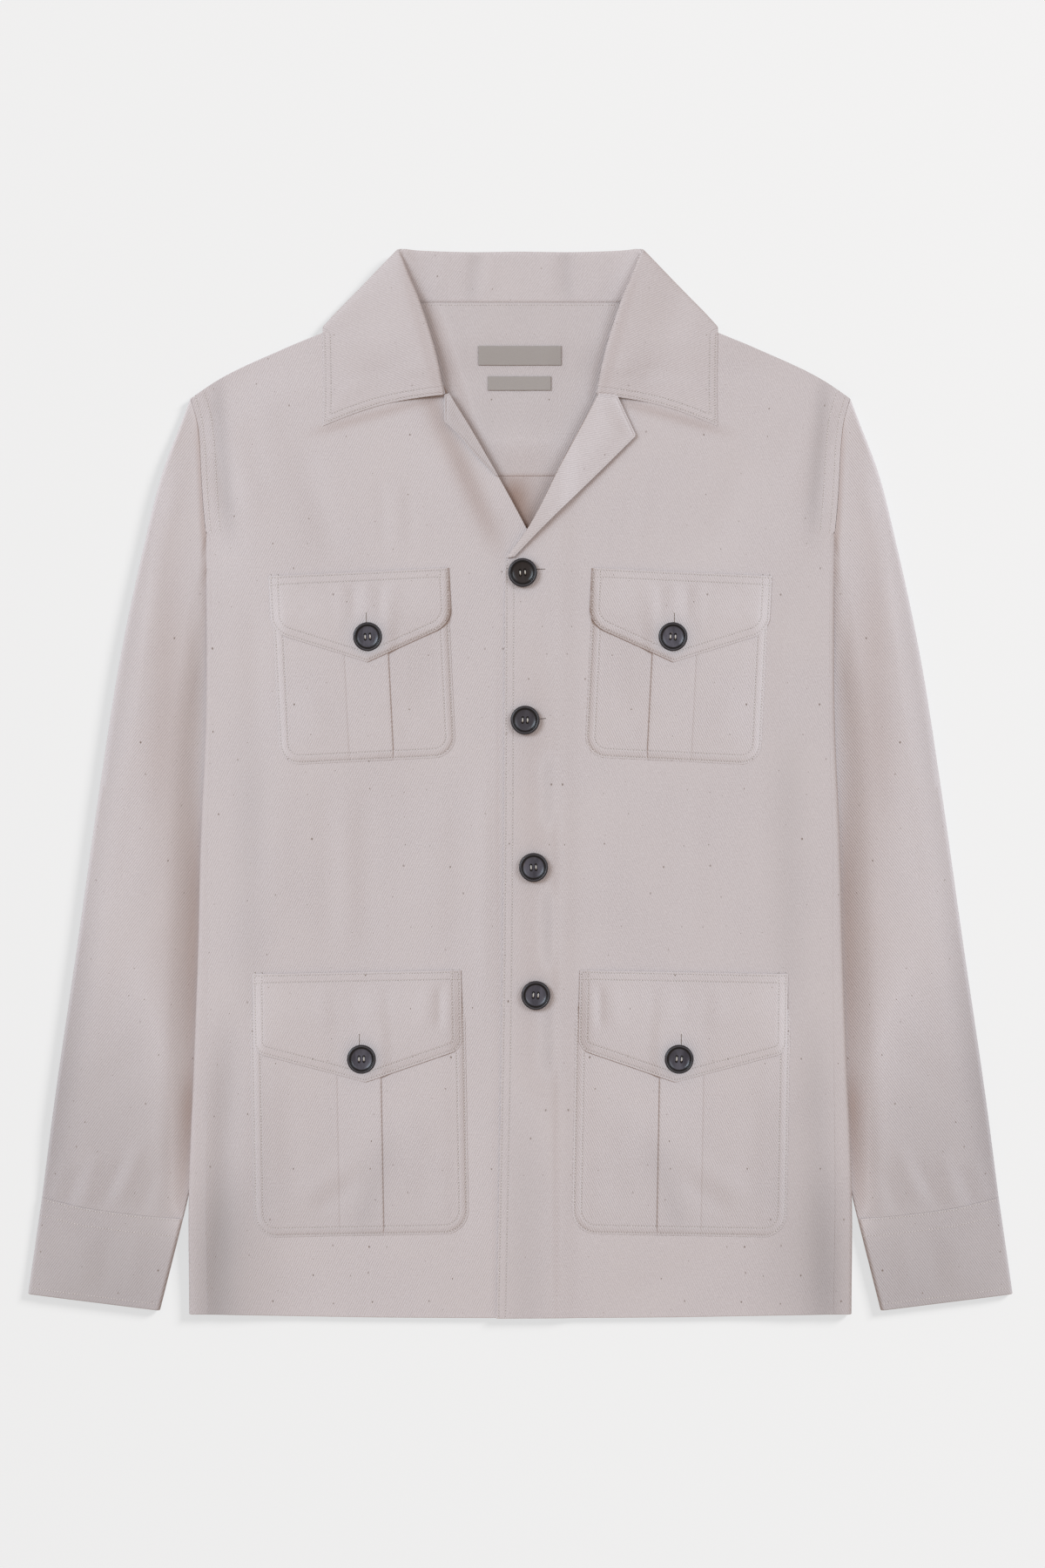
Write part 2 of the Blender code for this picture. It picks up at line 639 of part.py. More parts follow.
def make_pocket(name, row, side, material):
    half = row.width / 2
    down = np.concatenate([
        np.linspace(-row.mouth, -row.depth + row.corner, 4)[:-1],
        -row.depth + row.corner * (1 - np.sin(np.radians((0.0, 35.0, 62.0, 90.0)))),
    ])
    fold_sides = ((-1, -1), (-1, 0), (1, 0), (1, 1))
    folds_x = [row.pleat_x + edge * row.pleat_width / 2 + past * PLEAT_FOLD for edge, past in fold_sides]
    local = []
    for y in down[::-1]:
        into = max(0.0, row.corner - (row.depth + y))
        inset = row.corner - math.sqrt(max(row.corner**2 - into**2, 0.0))
        low, high = -half + inset, half - inset
        xs = [low, 0.5 * (low + folds_x[0])] + folds_x + [0.5 * (high + folds_x[-1]), high]
        local.append([(x, y) for x in xs])
    local = np.array(local)
    grid = place(local, row, side)
    height = front_top(side, grid[..., 0], grid[..., 1]) + LAY
    points = lift(grid, height + pleat_rise(local[..., 0], row, PLEAT_FOLD))
    if side < 0:
        points = points[:, ::-1]
    return add_sheet(name, [(points, False)], CLOTH, material)


def flap_under(local, row, side):
    grid = place(local, row, side)
    on_bag = smoothstep((-local[..., 1] - FLAP_STEP) / (row.mouth - 2 * FLAP_STEP))
    bag = (CLOTH + LAY) * on_bag + pleat_rise(local[..., 0], row, FLAP_EASE) * on_bag
    return grid, front_top(side, grid[..., 0], grid[..., 1]) + LAY + bag


def flap_drop(local_x, row):
    """How far the flap reaches down: square sides, round corners and a point near the middle."""
    half = row.flap_width / 2
    from_point = local_x - row.flap_point_x
    run = half - row.flap_point_x * math.copysign(1.0, from_point)
    point = row.flap_point - (row.flap_point - row.flap_side) * abs(from_point) / run
    into = max(0.0, abs(local_x) - half + row.flap_corner)
    return point - row.flap_corner + math.sqrt(max(row.flap_corner**2 - into**2, 0.0))


def make_flap(name, row, side, material):
    half = row.flap_width / 2
    corner = row.flap_corner * (1 - np.cos(np.radians((0.0, 40.0, 70.0))))
    inner = np.linspace(-half + row.flap_corner, row.flap_point_x, 4)
    outer = np.linspace(row.flap_point_x, half - row.flap_corner, 4)
    middle = np.concatenate([inner, outer[1:]])
    xs = np.concatenate([-half + corner, middle, half - corner[::-1]])
    drops = np.array([flap_drop(x, row) for x in xs])
    level = np.ones(len(xs))
    downs = [drops, 0.8 * drops, 0.5 * drops, (row.mouth - 2.0) * level, FLAP_STEP * level, 0.0 * level]
    local = np.array([np.stack([xs, -down], axis=1) for down in downs])
    grid, height = flap_under(local, row, side)
    points = lift(grid, height)
    if side < 0:
        points = points[:, ::-1]
    return add_sheet(name, [(points, False)], DOUBLE, material)


def button_mesh(material):
    """A turned disc with a raised rim and a dished middle, pierced by four holes."""
    radius, height = BUTTON_RADIUS, BUTTON_HEIGHT
    profile = (
        (0.0, 0.62 * height), (0.64 * radius, 0.68 * height), (0.85 * radius, height),
        (0.97 * radius, 0.86 * height), (radius, 0.5 * height), (0.8 * radius, 0.0), (0.0, 0.0),
    )
    shape = bmesh.new()
    rings = []
    for r, z in profile:
        if r == 0.0:
            rings.append([shape.verts.new((0.0, 0.0, z * MM))])
            continue
        turns = [2 * math.pi * k / BUTTON_SIDES for k in range(BUTTON_SIDES)]
        rings.append([shape.verts.new((r * math.cos(t) * MM, r * math.sin(t) * MM, z * MM)) for t in turns])
    for upper, lower in zip(rings, rings[1:]):
        for k in range(BUTTON_SIDES):
            n = (k + 1) % BUTTON_SIDES
            ends = [(upper, k), (lower, k), (lower, n), (upper, n)]
            corners = [ring[place % len(ring)] for ring, place in ends]
            shape.faces.new(list(dict.fromkeys(corners)))
    bmesh.ops.recalc_face_normals(shape, faces=shape.faces)
    mesh = bpy.data.meshes.new("button")
    shape.to_mesh(mesh)
    shape.free()
    mesh.materials.append(material)
    return pierce(mesh)


def pierce(mesh):
    """The button's mesh with its four thread holes cut through."""
    cutter_mesh = bpy.data.meshes.new("thread_holes")
    shape = bmesh.new()
    for sx in (-1, 1):
        for sy in (-1, 1):
            made = bmesh.ops.create_cone(
                shape, cap_ends=True, segments=HOLE_SIDES, radius1=BUTTON_HOLE_RADIUS * MM,
                radius2=BUTTON_HOLE_RADIUS * MM, depth=3 * BUTTON_HEIGHT * MM)
            offset = (sx * BUTTON_HOLE_OFFSET * MM, sy * BUTTON_HOLE_OFFSET * MM, 0.0)
            bmesh.ops.translate(shape, verts=made["verts"], vec=offset)
    shape.to_mesh(cutter_mesh)
    shape.free()
    cutter = bpy.data.objects.new("thread_holes", cutter_mesh)
    blank = bpy.data.objects.new("button_blank", mesh)
    for item in (cutter, blank):
        bpy.context.scene.collection.objects.link(item)
    cut = blank.modifiers.new("holes", "BOOLEAN")
    cut.object = cutter
    cut.operation = "DIFFERENCE"
    bpy.context.view_layer.update()
    pierced = bpy.data.meshes.new_from_object(blank.evaluated_get(bpy.context.evaluated_depsgraph_get()))
    pierced.name = "button"
    pierced.shade_smooth()
    pierced.set_sharp_from_angle(angle=math.radians(BUTTON_CREASE))
    for item in (cutter, blank):
        bpy.data.objects.remove(item, do_unlink=True)
    return pierced


def add_button(name, mesh, x, y, z):
    item = add_item(name, mesh)
    item.location = (x * MM, y * MM, z * MM)


def make_label(row, material):
    columns, rows = 4, 2
    xs = row.x + np.linspace(-row.width / 2, row.width / 2, columns + 1)
    ys = row.y + np.linspace(-row.height / 2, row.height / 2, rows + 1)
    grid = np.stack(np.meshgrid(xs, ys), axis=-1)
    points = lift(grid, back_under(grid[..., 0], grid[..., 1]) + CLOTH + SEAM)
    return add_sheet(row.name, [(points, False)], LABEL_TAPE, material)


def main():
    clear_scene()
    materials = make_materials()
    drill = materials["drill"]
    make_back(drill)
    make_yoke(drill)
    button = button_mesh(materials["horn"])
    for side, hand in ((-1, "right"), (1, "left")):
        make_front(f"front_{hand}", side, drill)
        make_sleeve(f"sleeve_{hand}", side, drill)
        make_cuff(f"cuff_{hand}", side, drill)
        for row in POCKETS:
            make_pocket(f"pocket_{row.name}_{hand}", row, side, drill)
            make_flap(f"flap_{row.name}_{hand}", row, side, drill)
            spot, height = flap_under(np.array([row.button_x, -row.button_drop]) + SEAT, row, side)
            add_button(f"button_{row.name}_{hand}", button, *spot[0], height.max() + DOUBLE + SEAM)
    make_lapel("lapel_left", 1, lapel_grid(LAPEL_LEFT_NOTCH, LAPEL_LEFT_EDGE, LAPEL_LEFT_ROLL),
               LAPEL_LEFT_RISE, drill)
    make_lapel("lapel_right", -1, lapel_grid(LAPEL_RIGHT_NOTCH, LAPEL_RIGHT_EDGE, LAPEL_RIGHT_ROLL),
               LAPEL_RIGHT_RISE, drill)
    make_collar(drill)
    for number, spot in enumerate(FRONT_BUTTONS, start=1):
        seat_x, seat_y = (np.array(spot) + SEAT).T
        add_button(f"button_front_{number}", button, *spot, front_top(1, seat_x, seat_y).max() + SEAM)
    for row in LABELS:
        make_label(row, materials["label_tape"])


main()
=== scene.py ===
import math

import bmesh
import bpy
import numpy as np
from mathutils import Matrix, Vector
from mathutils.bvhtree import BVHTree


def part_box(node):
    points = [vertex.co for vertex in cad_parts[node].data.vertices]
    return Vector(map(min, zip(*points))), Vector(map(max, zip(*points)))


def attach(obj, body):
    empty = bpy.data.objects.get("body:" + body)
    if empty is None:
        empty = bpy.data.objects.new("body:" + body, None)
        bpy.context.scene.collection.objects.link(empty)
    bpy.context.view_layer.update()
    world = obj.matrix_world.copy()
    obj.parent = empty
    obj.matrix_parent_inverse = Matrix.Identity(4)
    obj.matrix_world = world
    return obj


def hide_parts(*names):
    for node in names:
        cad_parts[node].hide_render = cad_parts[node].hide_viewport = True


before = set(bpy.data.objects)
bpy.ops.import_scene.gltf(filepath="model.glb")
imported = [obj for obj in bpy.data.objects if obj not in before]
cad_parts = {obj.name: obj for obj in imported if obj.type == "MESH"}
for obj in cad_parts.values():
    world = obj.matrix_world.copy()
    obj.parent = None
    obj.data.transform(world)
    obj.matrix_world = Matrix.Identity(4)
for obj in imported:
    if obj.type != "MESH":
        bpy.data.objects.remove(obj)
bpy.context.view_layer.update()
mm = 0.001  # tables are in millimetres, meshes in metres
made = {}  # finished pieces by name
print("frame loaded:", len(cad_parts), "nodes")


# curves and patches

def smoothStep(value):
    value = np.clip(value, 0.0, 1.0)
    return value * value * (3.0 - 2.0 * value)


def throughRows(knots, values, at):  # smooth curve through a few rows of a table
    knots = np.asarray(knots, float)
    values = np.asarray(values, float)
    at = np.clip(np.asarray(at, float), knots[0], knots[-1])
    slopes = np.gradient(values, knots)
    low = np.clip(np.searchsorted(knots, at) - 1, 0, len(knots) - 2)
    span = knots[low + 1] - knots[low]
    t = (at - knots[low]) / span
    rise = (2 * t**3 - 3 * t**2 + 1) * values[low] + (3 * t**2 - 2 * t**3) * values[low + 1]
    return rise + span * ((t**3 - 2 * t**2 + t) * slopes[low] + (t**3 - t**2) * slopes[low + 1])


def lineThrough(points, shares):  # places along a smooth line, as shares of its length
    points = np.array(points, float)
    reach = np.concatenate(([0.0], np.cumsum(np.linalg.norm(np.diff(points, axis=0), axis=1))))
    at = np.asarray(shares, float) * reach[-1]
    if len(points) == 2:
        return points[0] + (points[1] - points[0]) * (at / reach[-1])[:, None]
    return np.stack([throughRows(reach, points[:, axis], at) for axis in range(points.shape[1])], axis=1)


def patchBetween(bottom, top, left, right, u, v):
    u = u[None, :, None]
    v = v[:, None, None]
    across = (1 - u) * left[:, None] + u * right[:, None]
    along = (1 - v) * bottom[None] + v * top[None]
    corners = (1 - v) * ((1 - u) * bottom[0] + u * bottom[-1]) + v * ((1 - u) * top[0] + u * top[-1])
    return across + along - corners


def mirrored(points):
    points = np.asarray(points, float)
    return points * np.array([-1.0] + [1.0] * (points.shape[-1] - 1))


rimTurn = np.array([0.0, 0.134, 0.5, 1.0])  # a rounded cut edge, as shares of its width
rimFull = np.array([0.0, 0.5, 0.866, 1.0])  # and of the cloth's thickness there
rimNext = 0.35  # the next row inside a rim keeps it crisp


def shares(length, step, rims=(0.5, 0.5)):  # even places along an edge, with a rounded rim at each end
    count = max(2, int(round(length / step)))
    near = rimNext / length
    inner = np.linspace(rims[0] / length, 1 - rims[1] / length, count + 1)
    inner = np.concatenate([inner[:1], inner[:1] + near, inner[1:-1], inner[-1:] - near, inner[-1:]])
    return np.concatenate([rimTurn[:3] * rims[0] / length, inner, 1 - rimTurn[2::-1] * rims[1] / length])


# one closed shell of cloth from the middle surface of a sheet or a tube
farEdge = 90.0  # edge gap of cloth with no seam near
noFold = 9000.0  # mirror line of cloth with no fold
cutJump = 40.0  # a wider step in a flat cut is where a tube opens
sharpTurn = 55.0  # degrees between faces that meet in a hard edge


def gridNormals(mid, wrap):
    if wrap:
        across = np.roll(mid, -1, axis=1) - np.roll(mid, 1, axis=1)
    else:
        across = np.gradient(mid, axis=1)
    normal = np.cross(across, np.gradient(mid, axis=0))
    return normal / np.maximum(np.linalg.norm(normal, axis=-1, keepdims=True), 1e-9)


def gridCorners(grid):  # the four corners of every cell, in order
    return np.stack([grid[:-1, :-1], grid[:-1, 1:], grid[1:, 1:], grid[1:, :-1]], axis=2)


def rimSteps(count):  # rows from the nearer end, as far as a rim goes
    return np.minimum(np.arange(count), np.arange(count)[::-1]).clip(0, 3)


def shellMesh(name, mid, thick, cut, wrap=False, edgeGap=None, mirrorAt=noFold, shade=None):
    rows, columns = mid.shape[:2]
    sides = np.full(columns, 3) if wrap else rimSteps(columns)
    full = rimFull[np.minimum(rimSteps(rows)[:, None], sides[None, :])]
    half = gridNormals(mid, wrap) * (0.5 * thick * full)[..., None]
    border = full == 0.0
    over = np.arange(rows * columns).reshape(rows, columns)
    under = np.where(border, over, rows * columns + np.cumsum(~border.ravel()).reshape(rows, columns) - 1)
    points = np.concatenate([(mid + half).reshape(-1, 3), (mid - half)[~border]])
    if wrap:
        over, under = (np.concatenate([index, index[:, :1]], axis=1) for index in (over, under))
    faces = np.concatenate([gridCorners(over).reshape(-1, 4), gridCorners(under).reshape(-1, 4)[:, ::-1]])
    cutAt = gridCorners(cut).reshape(-1, 4, 2)
    cutAt = np.concatenate([cutAt, cutAt[:, ::-1]])
    mesh = bpy.data.meshes.new(name)
    mesh.from_pydata((points * mm).tolist(), [], faces.tolist())
    mesh.uv_layers.new(name="cut").uv.foreach_set("vector", (cutAt * mm).astype(np.float32).ravel())
    masks = (("edgeGap", edgeGap, farEdge), ("shade", shade, 0.0), ("mirrorAt", None, mirrorAt * mm))
    for label, values, plain in masks:
        values = np.full((rows, columns), plain) if values is None else values
        values = np.concatenate([values.ravel(), values[~border]]).astype(np.float32)
        mesh.attributes.new(label, "FLOAT", "POINT").data.foreach_set("value", values)
    mesh.shade_smooth()
    mesh.set_sharp_from_angle(angle=math.radians(sharpTurn))
    return mesh


def cutSize(cut):  # the smallest rectangle that the flat cut fits, and its area, in metres
    points = cut.reshape(-1, 2)
    boxes = []
    for turn in np.radians(np.arange(0, 90, 3)):
        across = points @ (math.cos(turn), math.sin(turn))
        along = points @ (-math.sin(turn), math.cos(turn))
        boxes.append((np.ptp(across) * mm, np.ptp(along) * mm))
    size = min(boxes, key=lambda box: box[0] * box[1])
    a, b, c, d = np.moveaxis(gridCorners(cut), 2, 0)
    near = np.linalg.norm(b - a, axis=-1) < cutJump
    crossed = (c - a)[..., 0] * (d - b)[..., 1] - (c - a)[..., 1] * (d - b)[..., 0]
    return size, float(np.abs(crossed[near]).sum() / 2) * mm * mm


def finishPiece(name, mesh, material, node=None):
    mesh.materials.clear()
    mesh.materials.append(material)
    piece = bpy.data.objects.new(name, mesh)
    bpy.context.scene.collection.objects.link(piece)
    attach(piece, "root")
    if node:
        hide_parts(node)
    made[name] = piece
    return piece


def layCloth(node, mid, thick, cut, restsOn, material=None, slot="drill", stands=True, **look):
    mesh = shellMesh(node + "_cloth", mid, thick, cut, **look)
    piece = finishPiece(node + "_cloth", mesh, material or drill, node if stands else None)
    size, area = cutSize(cut)
    area = min(area, size[0] * size[1])


def gapTo(points, line):  # distance of each point from a line of short straight runs
    flat = points.reshape(-1, 2)
    best = np.full(len(flat), 1e9)
    for start, end in zip(line[:-1], line[1:]):
        run = end - start
        t = np.clip(((flat - start) @ run) / max(run @ run, 1e-9), 0.0, 1.0)
        best = np.minimum(best, np.linalg.norm(flat - start - t[:, None] * run, axis=1))
    return best.reshape(points.shape[:-1])


# shader groups

def newGroup(name, inputs, outputs, treeKind="ShaderNodeTree"):  # sockets by name, with the kind of each
    tree = bpy.data.node_groups.new(name, treeKind)
    for way, sockets in (("INPUT", inputs), ("OUTPUT", outputs)):
        for socket, kind in sockets.items():
            tree.interface.new_socket(socket, in_out=way, socket_type="NodeSocket" + kind)
    return tree, tree.nodes.new("NodeGroupInput").outputs, tree.nodes.new("NodeGroupOutput").inputs


def join(tree, socket, value):
    if isinstance(value, bpy.types.NodeSocket):
        tree.links.new(value, socket)
    else:
        socket.default_value = value


def addNode(tree, kind, **values):  # a node with its named inputs set or linked
    node = tree.nodes.new(kind)
    for name, value in values.items():
        join(tree, node.inputs[name], value)
    return node


def reckon(tree, kind, operation, values):
    node = tree.nodes.new(kind)
    node.operation = operation
    for socket, value in zip(node.inputs, values):
        join(tree, socket, value)
    return node.outputs


def maths(tree, operation, *values):
    return reckon(tree, "ShaderNodeMath", operation, values)[0]


def vectorMaths(tree, operation, *values):
    outputs = reckon(tree, "ShaderNodeVectorMath", operation, values)
    return outputs["Value" if operation == "DOT_PRODUCT" else "Vector"]


def noise(tree, vector, scale, detail=2.0, roughness=0.5):
    node = addNode(tree, "ShaderNodeTexNoise", Vector=vector, Scale=scale, Detail=detail, Roughness=roughness)
    return node.outputs["Fac"]


def mapRange(tree, value, low, high, toLow=0.0, toHigh=1.0):
    node = tree.nodes.new("ShaderNodeMapRange")
    for socket, item in zip(node.inputs, (value, low, high, toLow, toHigh)):
        join(tree, socket, item)
    return node.outputs[0]


def mixColour(tree, amount, first, second, blend="MIX"):
    node = tree.nodes.new("ShaderNodeMix")
    node.data_type = "RGBA"
    node.blend_type = blend
    for name, value in (("Factor_Float", amount), ("A_Color", first), ("B_Color", second)):
        join(tree, next(s for s in node.inputs if s.identifier == name), value)
    return next(s for s in node.outputs if s.identifier == "Result_Color")


# twill ridges along a steep diagonal, each broken into floats by the cross yarns
twillSize = {"pitch": 1.49, "steep": 65.0, "float": 1.05, "waver": 0.5, "drift": 210.0, "bold": (0.3, 0.7),
             "stagger": 0.37, "floatDip": 0.35, "fuzz": 700.0, "fuzzShare": 1.7}


def makeTwillGroup():
    tree, into, out = newGroup("twillWeave",
                               {"Cut": "Vector", "Pitch": "Float", "Float Length": "Float", "Waver": "Float"},
                               {"Ridge": "Float", "Height": "Float"})
    turn = math.radians(twillSize["steep"])
    drift = noise(tree, into["Cut"], twillSize["drift"], 1.0)
    waver = maths(tree, "MULTIPLY", maths(tree, "SUBTRACT", drift, 0.5), into["Waver"])
    bold = mapRange(tree, drift, *twillSize["bold"], *twillSize["bold"])  # the lines come and go
    off = vectorMaths(tree, "DOT_PRODUCT", into["Cut"], (math.sin(turn), -math.cos(turn), 0.0))
    along = vectorMaths(tree, "DOT_PRODUCT", into["Cut"], (math.cos(turn), math.sin(turn), 0.0))
    line = maths(tree, "ADD", maths(tree, "DIVIDE", off, into["Pitch"]), waver)
    wave = maths(tree, "SINE", maths(tree, "MULTIPLY", line, 2 * math.pi))
    ridge = maths(tree, "MULTIPLY_ADD", wave, bold, 0.5)
    stagger = maths(tree, "MULTIPLY", maths(tree, "FLOOR", line), twillSize["stagger"])
    floatAt = maths(tree, "ADD", maths(tree, "DIVIDE", along, into["Float Length"]), stagger)
    floats = maths(tree, "ABSOLUTE", maths(tree, "SINE", maths(tree, "MULTIPLY", floatAt, math.pi)))
    dip = maths(tree, "MULTIPLY_ADD", floats, twillSize["floatDip"], 1 - twillSize["floatDip"])
    fuzz = noise(tree, into["Cut"], twillSize["fuzz"], 1.0)
    fuzz = maths(tree, "MULTIPLY_ADD", fuzz, twillSize["fuzzShare"], -twillSize["fuzzShare"] / 2)
    tree.links.new(maths(tree, "ADD", ridge, fuzz), out["Ridge"])
    tree.links.new(maths(tree, "MULTIPLY", ridge, dip), out["Height"])
    return tree


# specks of cotton seed left in undyed yarn
seedLook = {"cells": 72.0, "kept": 0.6, "stretch": (1.0, 0.72, 1.0), "least": 0.010, "spread": 0.024,
            "soft": 1.7, "tone": (0.25, 0.8)}


def makeSeedGroup():
    tree, into, out = newGroup("seedFlecks", {"Cut": "Vector", "Cell": "Float", "Kept": "Float"},
                               {"Fleck": "Float", "Tone": "Float"})
    stretched = vectorMaths(tree, "MULTIPLY", into["Cut"], seedLook["stretch"])
    cells = addNode(tree, "ShaderNodeTexVoronoi", Vector=stretched, Scale=into["Cell"])
    cells.feature = "F1"
    cells.voronoi_dimensions = "2D"
    chance, share, tone = addNode(tree, "ShaderNodeSeparateColor", Color=cells.outputs["Color"]).outputs
    few = maths(tree, "POWER", share, 3.0)  # most specks are small
    size = maths(tree, "MULTIPLY_ADD", few, seedLook["spread"], seedLook["least"])
    faded = maths(tree, "MULTIPLY", size, seedLook["soft"])
    spot = mapRange(tree, cells.outputs["Distance"], size, faded, 1.0, 0.0)
    kept = maths(tree, "LESS_THAN", chance, into["Kept"])
    tree.links.new(maths(tree, "MULTIPLY", spot, kept), out["Fleck"])
    tree.links.new(tone, out["Tone"])
    return tree


# the two furrows that rows of stitches pull into an edge
stitchRows = {"first": 1.6, "second": 6.5, "furrow": 0.55}


def makeFurrowGroup():
    tree, into, out = newGroup("stitchFurrows",
                               {"Edge Gap": "Float", "First": "Float", "Second": "Float", "Width": "Float"},
                               {"Depth": "Float"})
    dips = []
    for row in ("First", "Second"):
        off = maths(tree, "DIVIDE", maths(tree, "SUBTRACT", into["Edge Gap"], into[row]), into["Width"])
        fall = maths(tree, "MULTIPLY", maths(tree, "MULTIPLY", off, off), -1.0)
        dips.append(maths(tree, "POWER", math.e, fall))
    tree.links.new(maths(tree, "ADD", *dips), out["Depth"])
    return tree


twillGroup = makeTwillGroup()
seedGroup = makeSeedGroup()
furrowGroup = makeFurrowGroup()


def newMaterial(name, roughness):
    material = bpy.data.materials.new(name)
    material.use_nodes = True
    tree = material.node_tree
    shader = tree.nodes["Principled BSDF"]
    shader.inputs["Roughness"].default_value = roughness
    return material, tree, shader


def placeGroup(tree, group, **values):
    node = tree.nodes.new("ShaderNodeGroup")
    node.node_tree = group
    for name, value in values.items():
        join(tree, node.inputs[name.replace("_", " ")], value)
    return node.outputs


def cutMap(tree):
    node = tree.nodes.new("ShaderNodeUVMap")
    node.uv_map = "cut"
    return node.outputs["UV"]


def attribute(tree, name):
    node = tree.nodes.new("ShaderNodeAttribute")
    node.attribute_name = name
    return node.outputs["Fac"]


def mirroredCut(tree):  # past a placket's fold the twill runs the other way
    across, along, _ = addNode(tree, "ShaderNodeSeparateXYZ", Vector=cutMap(tree)).outputs
    fold = maths(tree, "MULTIPLY", attribute(tree, "mirrorAt"), 2.0)
    nearer = maths(tree, "MINIMUM", across, maths(tree, "SUBTRACT", fold, across))
    return addNode(tree, "ShaderNodeCombineXYZ", X=nearer, Y=along).outputs[0]


def bump(tree, height, distance):
    return addNode(tree, "ShaderNodeBump", Strength=1.0, Distance=distance, Height=height).outputs["Normal"]


drillLook = {
    "ridge": (0.600, 0.541, 0.536, 1.0), "valley": (0.508, 0.451, 0.446, 1.0),
    "warm": (0.590, 0.526, 0.510, 1.0), "patch": 16.0, "patchShare": 0.4,
    "patchFrom": (0.35, 0.75),
    # sewnShade is a painted shade that darkens the stitch furrows towards the valley colour
    "fleck": (0.150, 0.100, 0.070, 1.0), "relief": 0.11, "furrow": 0.20, "sewnShade": 0.3,
    # the next two colours are painted shade, mixed in by the shade attribute: warm in hollows, grey where the
    # cloth turns from the light
    "hollowShade": (0.60, 0.47, 0.40, 1.0), "greyShade": (0.60, 0.60, 0.60, 1.0),
}


def makeDrill():
    material, tree, shader = newMaterial("drillCloth", 0.92)
    cut = mirroredCut(tree)
    twill = placeGroup(tree, twillGroup, Cut=cut, Pitch=twillSize["pitch"] * mm,
                       Float_Length=twillSize["float"] * mm, Waver=twillSize["waver"])
    seeds = placeGroup(tree, seedGroup, Cut=cut, Cell=seedLook["cells"], Kept=seedLook["kept"])
    sewn = placeGroup(tree, furrowGroup, Edge_Gap=attribute(tree, "edgeGap"), First=stitchRows["first"],
                      Second=stitchRows["second"], Width=stitchRows["furrow"])
    yarn = mixColour(tree, twill["Ridge"], drillLook["valley"], drillLook["ridge"])
    patchy = noise(tree, cut, drillLook["patch"], 2.0)
    patchy = mapRange(tree, patchy, *drillLook["patchFrom"], 0.0, drillLook["patchShare"])
    yarn = mixColour(tree, patchy, yarn, drillLook["warm"])
    # painted shade in the stitch furrows
    pulled = maths(tree, "MULTIPLY", sewn["Depth"], drillLook["sewnShade"])
    yarn = mixColour(tree, pulled, yarn, drillLook["valley"])
    # painted shade from the shade attribute: positive values mix in the warm colour, negative ones the grey
    soft = attribute(tree, "shade")
    for tint, share in (("hollowShade", 0.5), ("greyShade", -0.5)):
        amount = maths(tree, "MAXIMUM", maths(tree, "MULTIPLY", soft, share), 0.0)
        yarn = mixColour(tree, amount, yarn, mixColour(tree, 1.0, yarn, drillLook[tint], "MULTIPLY"))
    tone = mapRange(tree, seeds["Tone"], 0.0, 1.0, *seedLook["tone"])
    fleck = maths(tree, "MULTIPLY", seeds["Fleck"], tone)
    join(tree, shader.inputs["Base Color"], mixColour(tree, fleck, yarn, drillLook["fleck"]))
    shader.inputs["Specular IOR Level"].default_value = 0.2
    shader.inputs["Sheen Weight"].default_value = 0.06
    shader.inputs["Sheen Roughness"].default_value = 0.5
    furrow = drillLook["furrow"] / drillLook["relief"]
    relief = maths(tree, "SUBTRACT", twill["Height"], maths(tree, "MULTIPLY", sewn["Depth"], furrow))
    join(tree, shader.inputs["Normal"], bump(tree, relief, drillLook["relief"] * mm))
    return material


drill = makeDrill()
print("cloth finish made")


# heights where layers cross, as in the solids
lay = {
    "cloth": 1.2, "double": 2.2, "cuff": 2.0, "tape": 1.0, "seam": 0.3, "gap": 0.6, "air": 2.0, "hemAir": 0.6,
    "tuckLift": 3.96, "tuckRamp": 26.0, "frontRamp": 110.0, "sideRoll": 3.0, "collarLift": 2.8,
    "fallTop": 318.0, "fallRamp": 9.0, "fallSideRamp": 16.2, "fallHalf": 143.0, "frontEase": 3.4,
    "armpitEase": 50.0, "armholeEase": 36.0, "shoulderEase": 40.0, "hemEase": 60.0, "underlap": 22.0,
    "overlapMargin": 5.0, "overlapRamp": 16.0,
}
body = {
    "hem": -377.0, "hemDrop": 3.0, "armpit": 178.6, "yokeSeam": 218.9, "neckSeam": 342.0,
    "neck": ((80.0, 349.5), (77.5, 346.0), (73.5, 344.0), (60.0, 343.6), (37.0, 343.6), (0.0, 343.6)),
    "shoulderPoint": (234.4, 274.0),
    "shoulder": ((80.0, 349.5), (141.0, 320.6), (168.0, 309.6), (220.4, 284.0), (234.4, 274.0)),
    "side": ((-377.0, 235.6, 14.0), (-291.0, 235.6, 13.0), (-205.0, 232.2, 10.5), (-110.0, 228.8, 8.0),
             (-50.0, 227.4, 6.5), (48.0, 223.4, 5.0), (178.6, 223.5, 4.5)),
    "armhole": ((178.6, 223.5), (198.4, 225.4), (215.8, 226.6), (244.9, 228.5), (258.2, 230.1),
                (274.0, 234.4)),
    "tuck": ((-377.0, 256.0), (-290.0, 235.4), (110.0, 141.0), (178.6, 223.5), (240.0, 297.0)),
}
buttonSpots = {"front": ((1.7, 150.0), (3.4, 45.3), (9.4, -59.2), (11.0, -150.0)), "calm": 9.0, "ramp": 16.0}

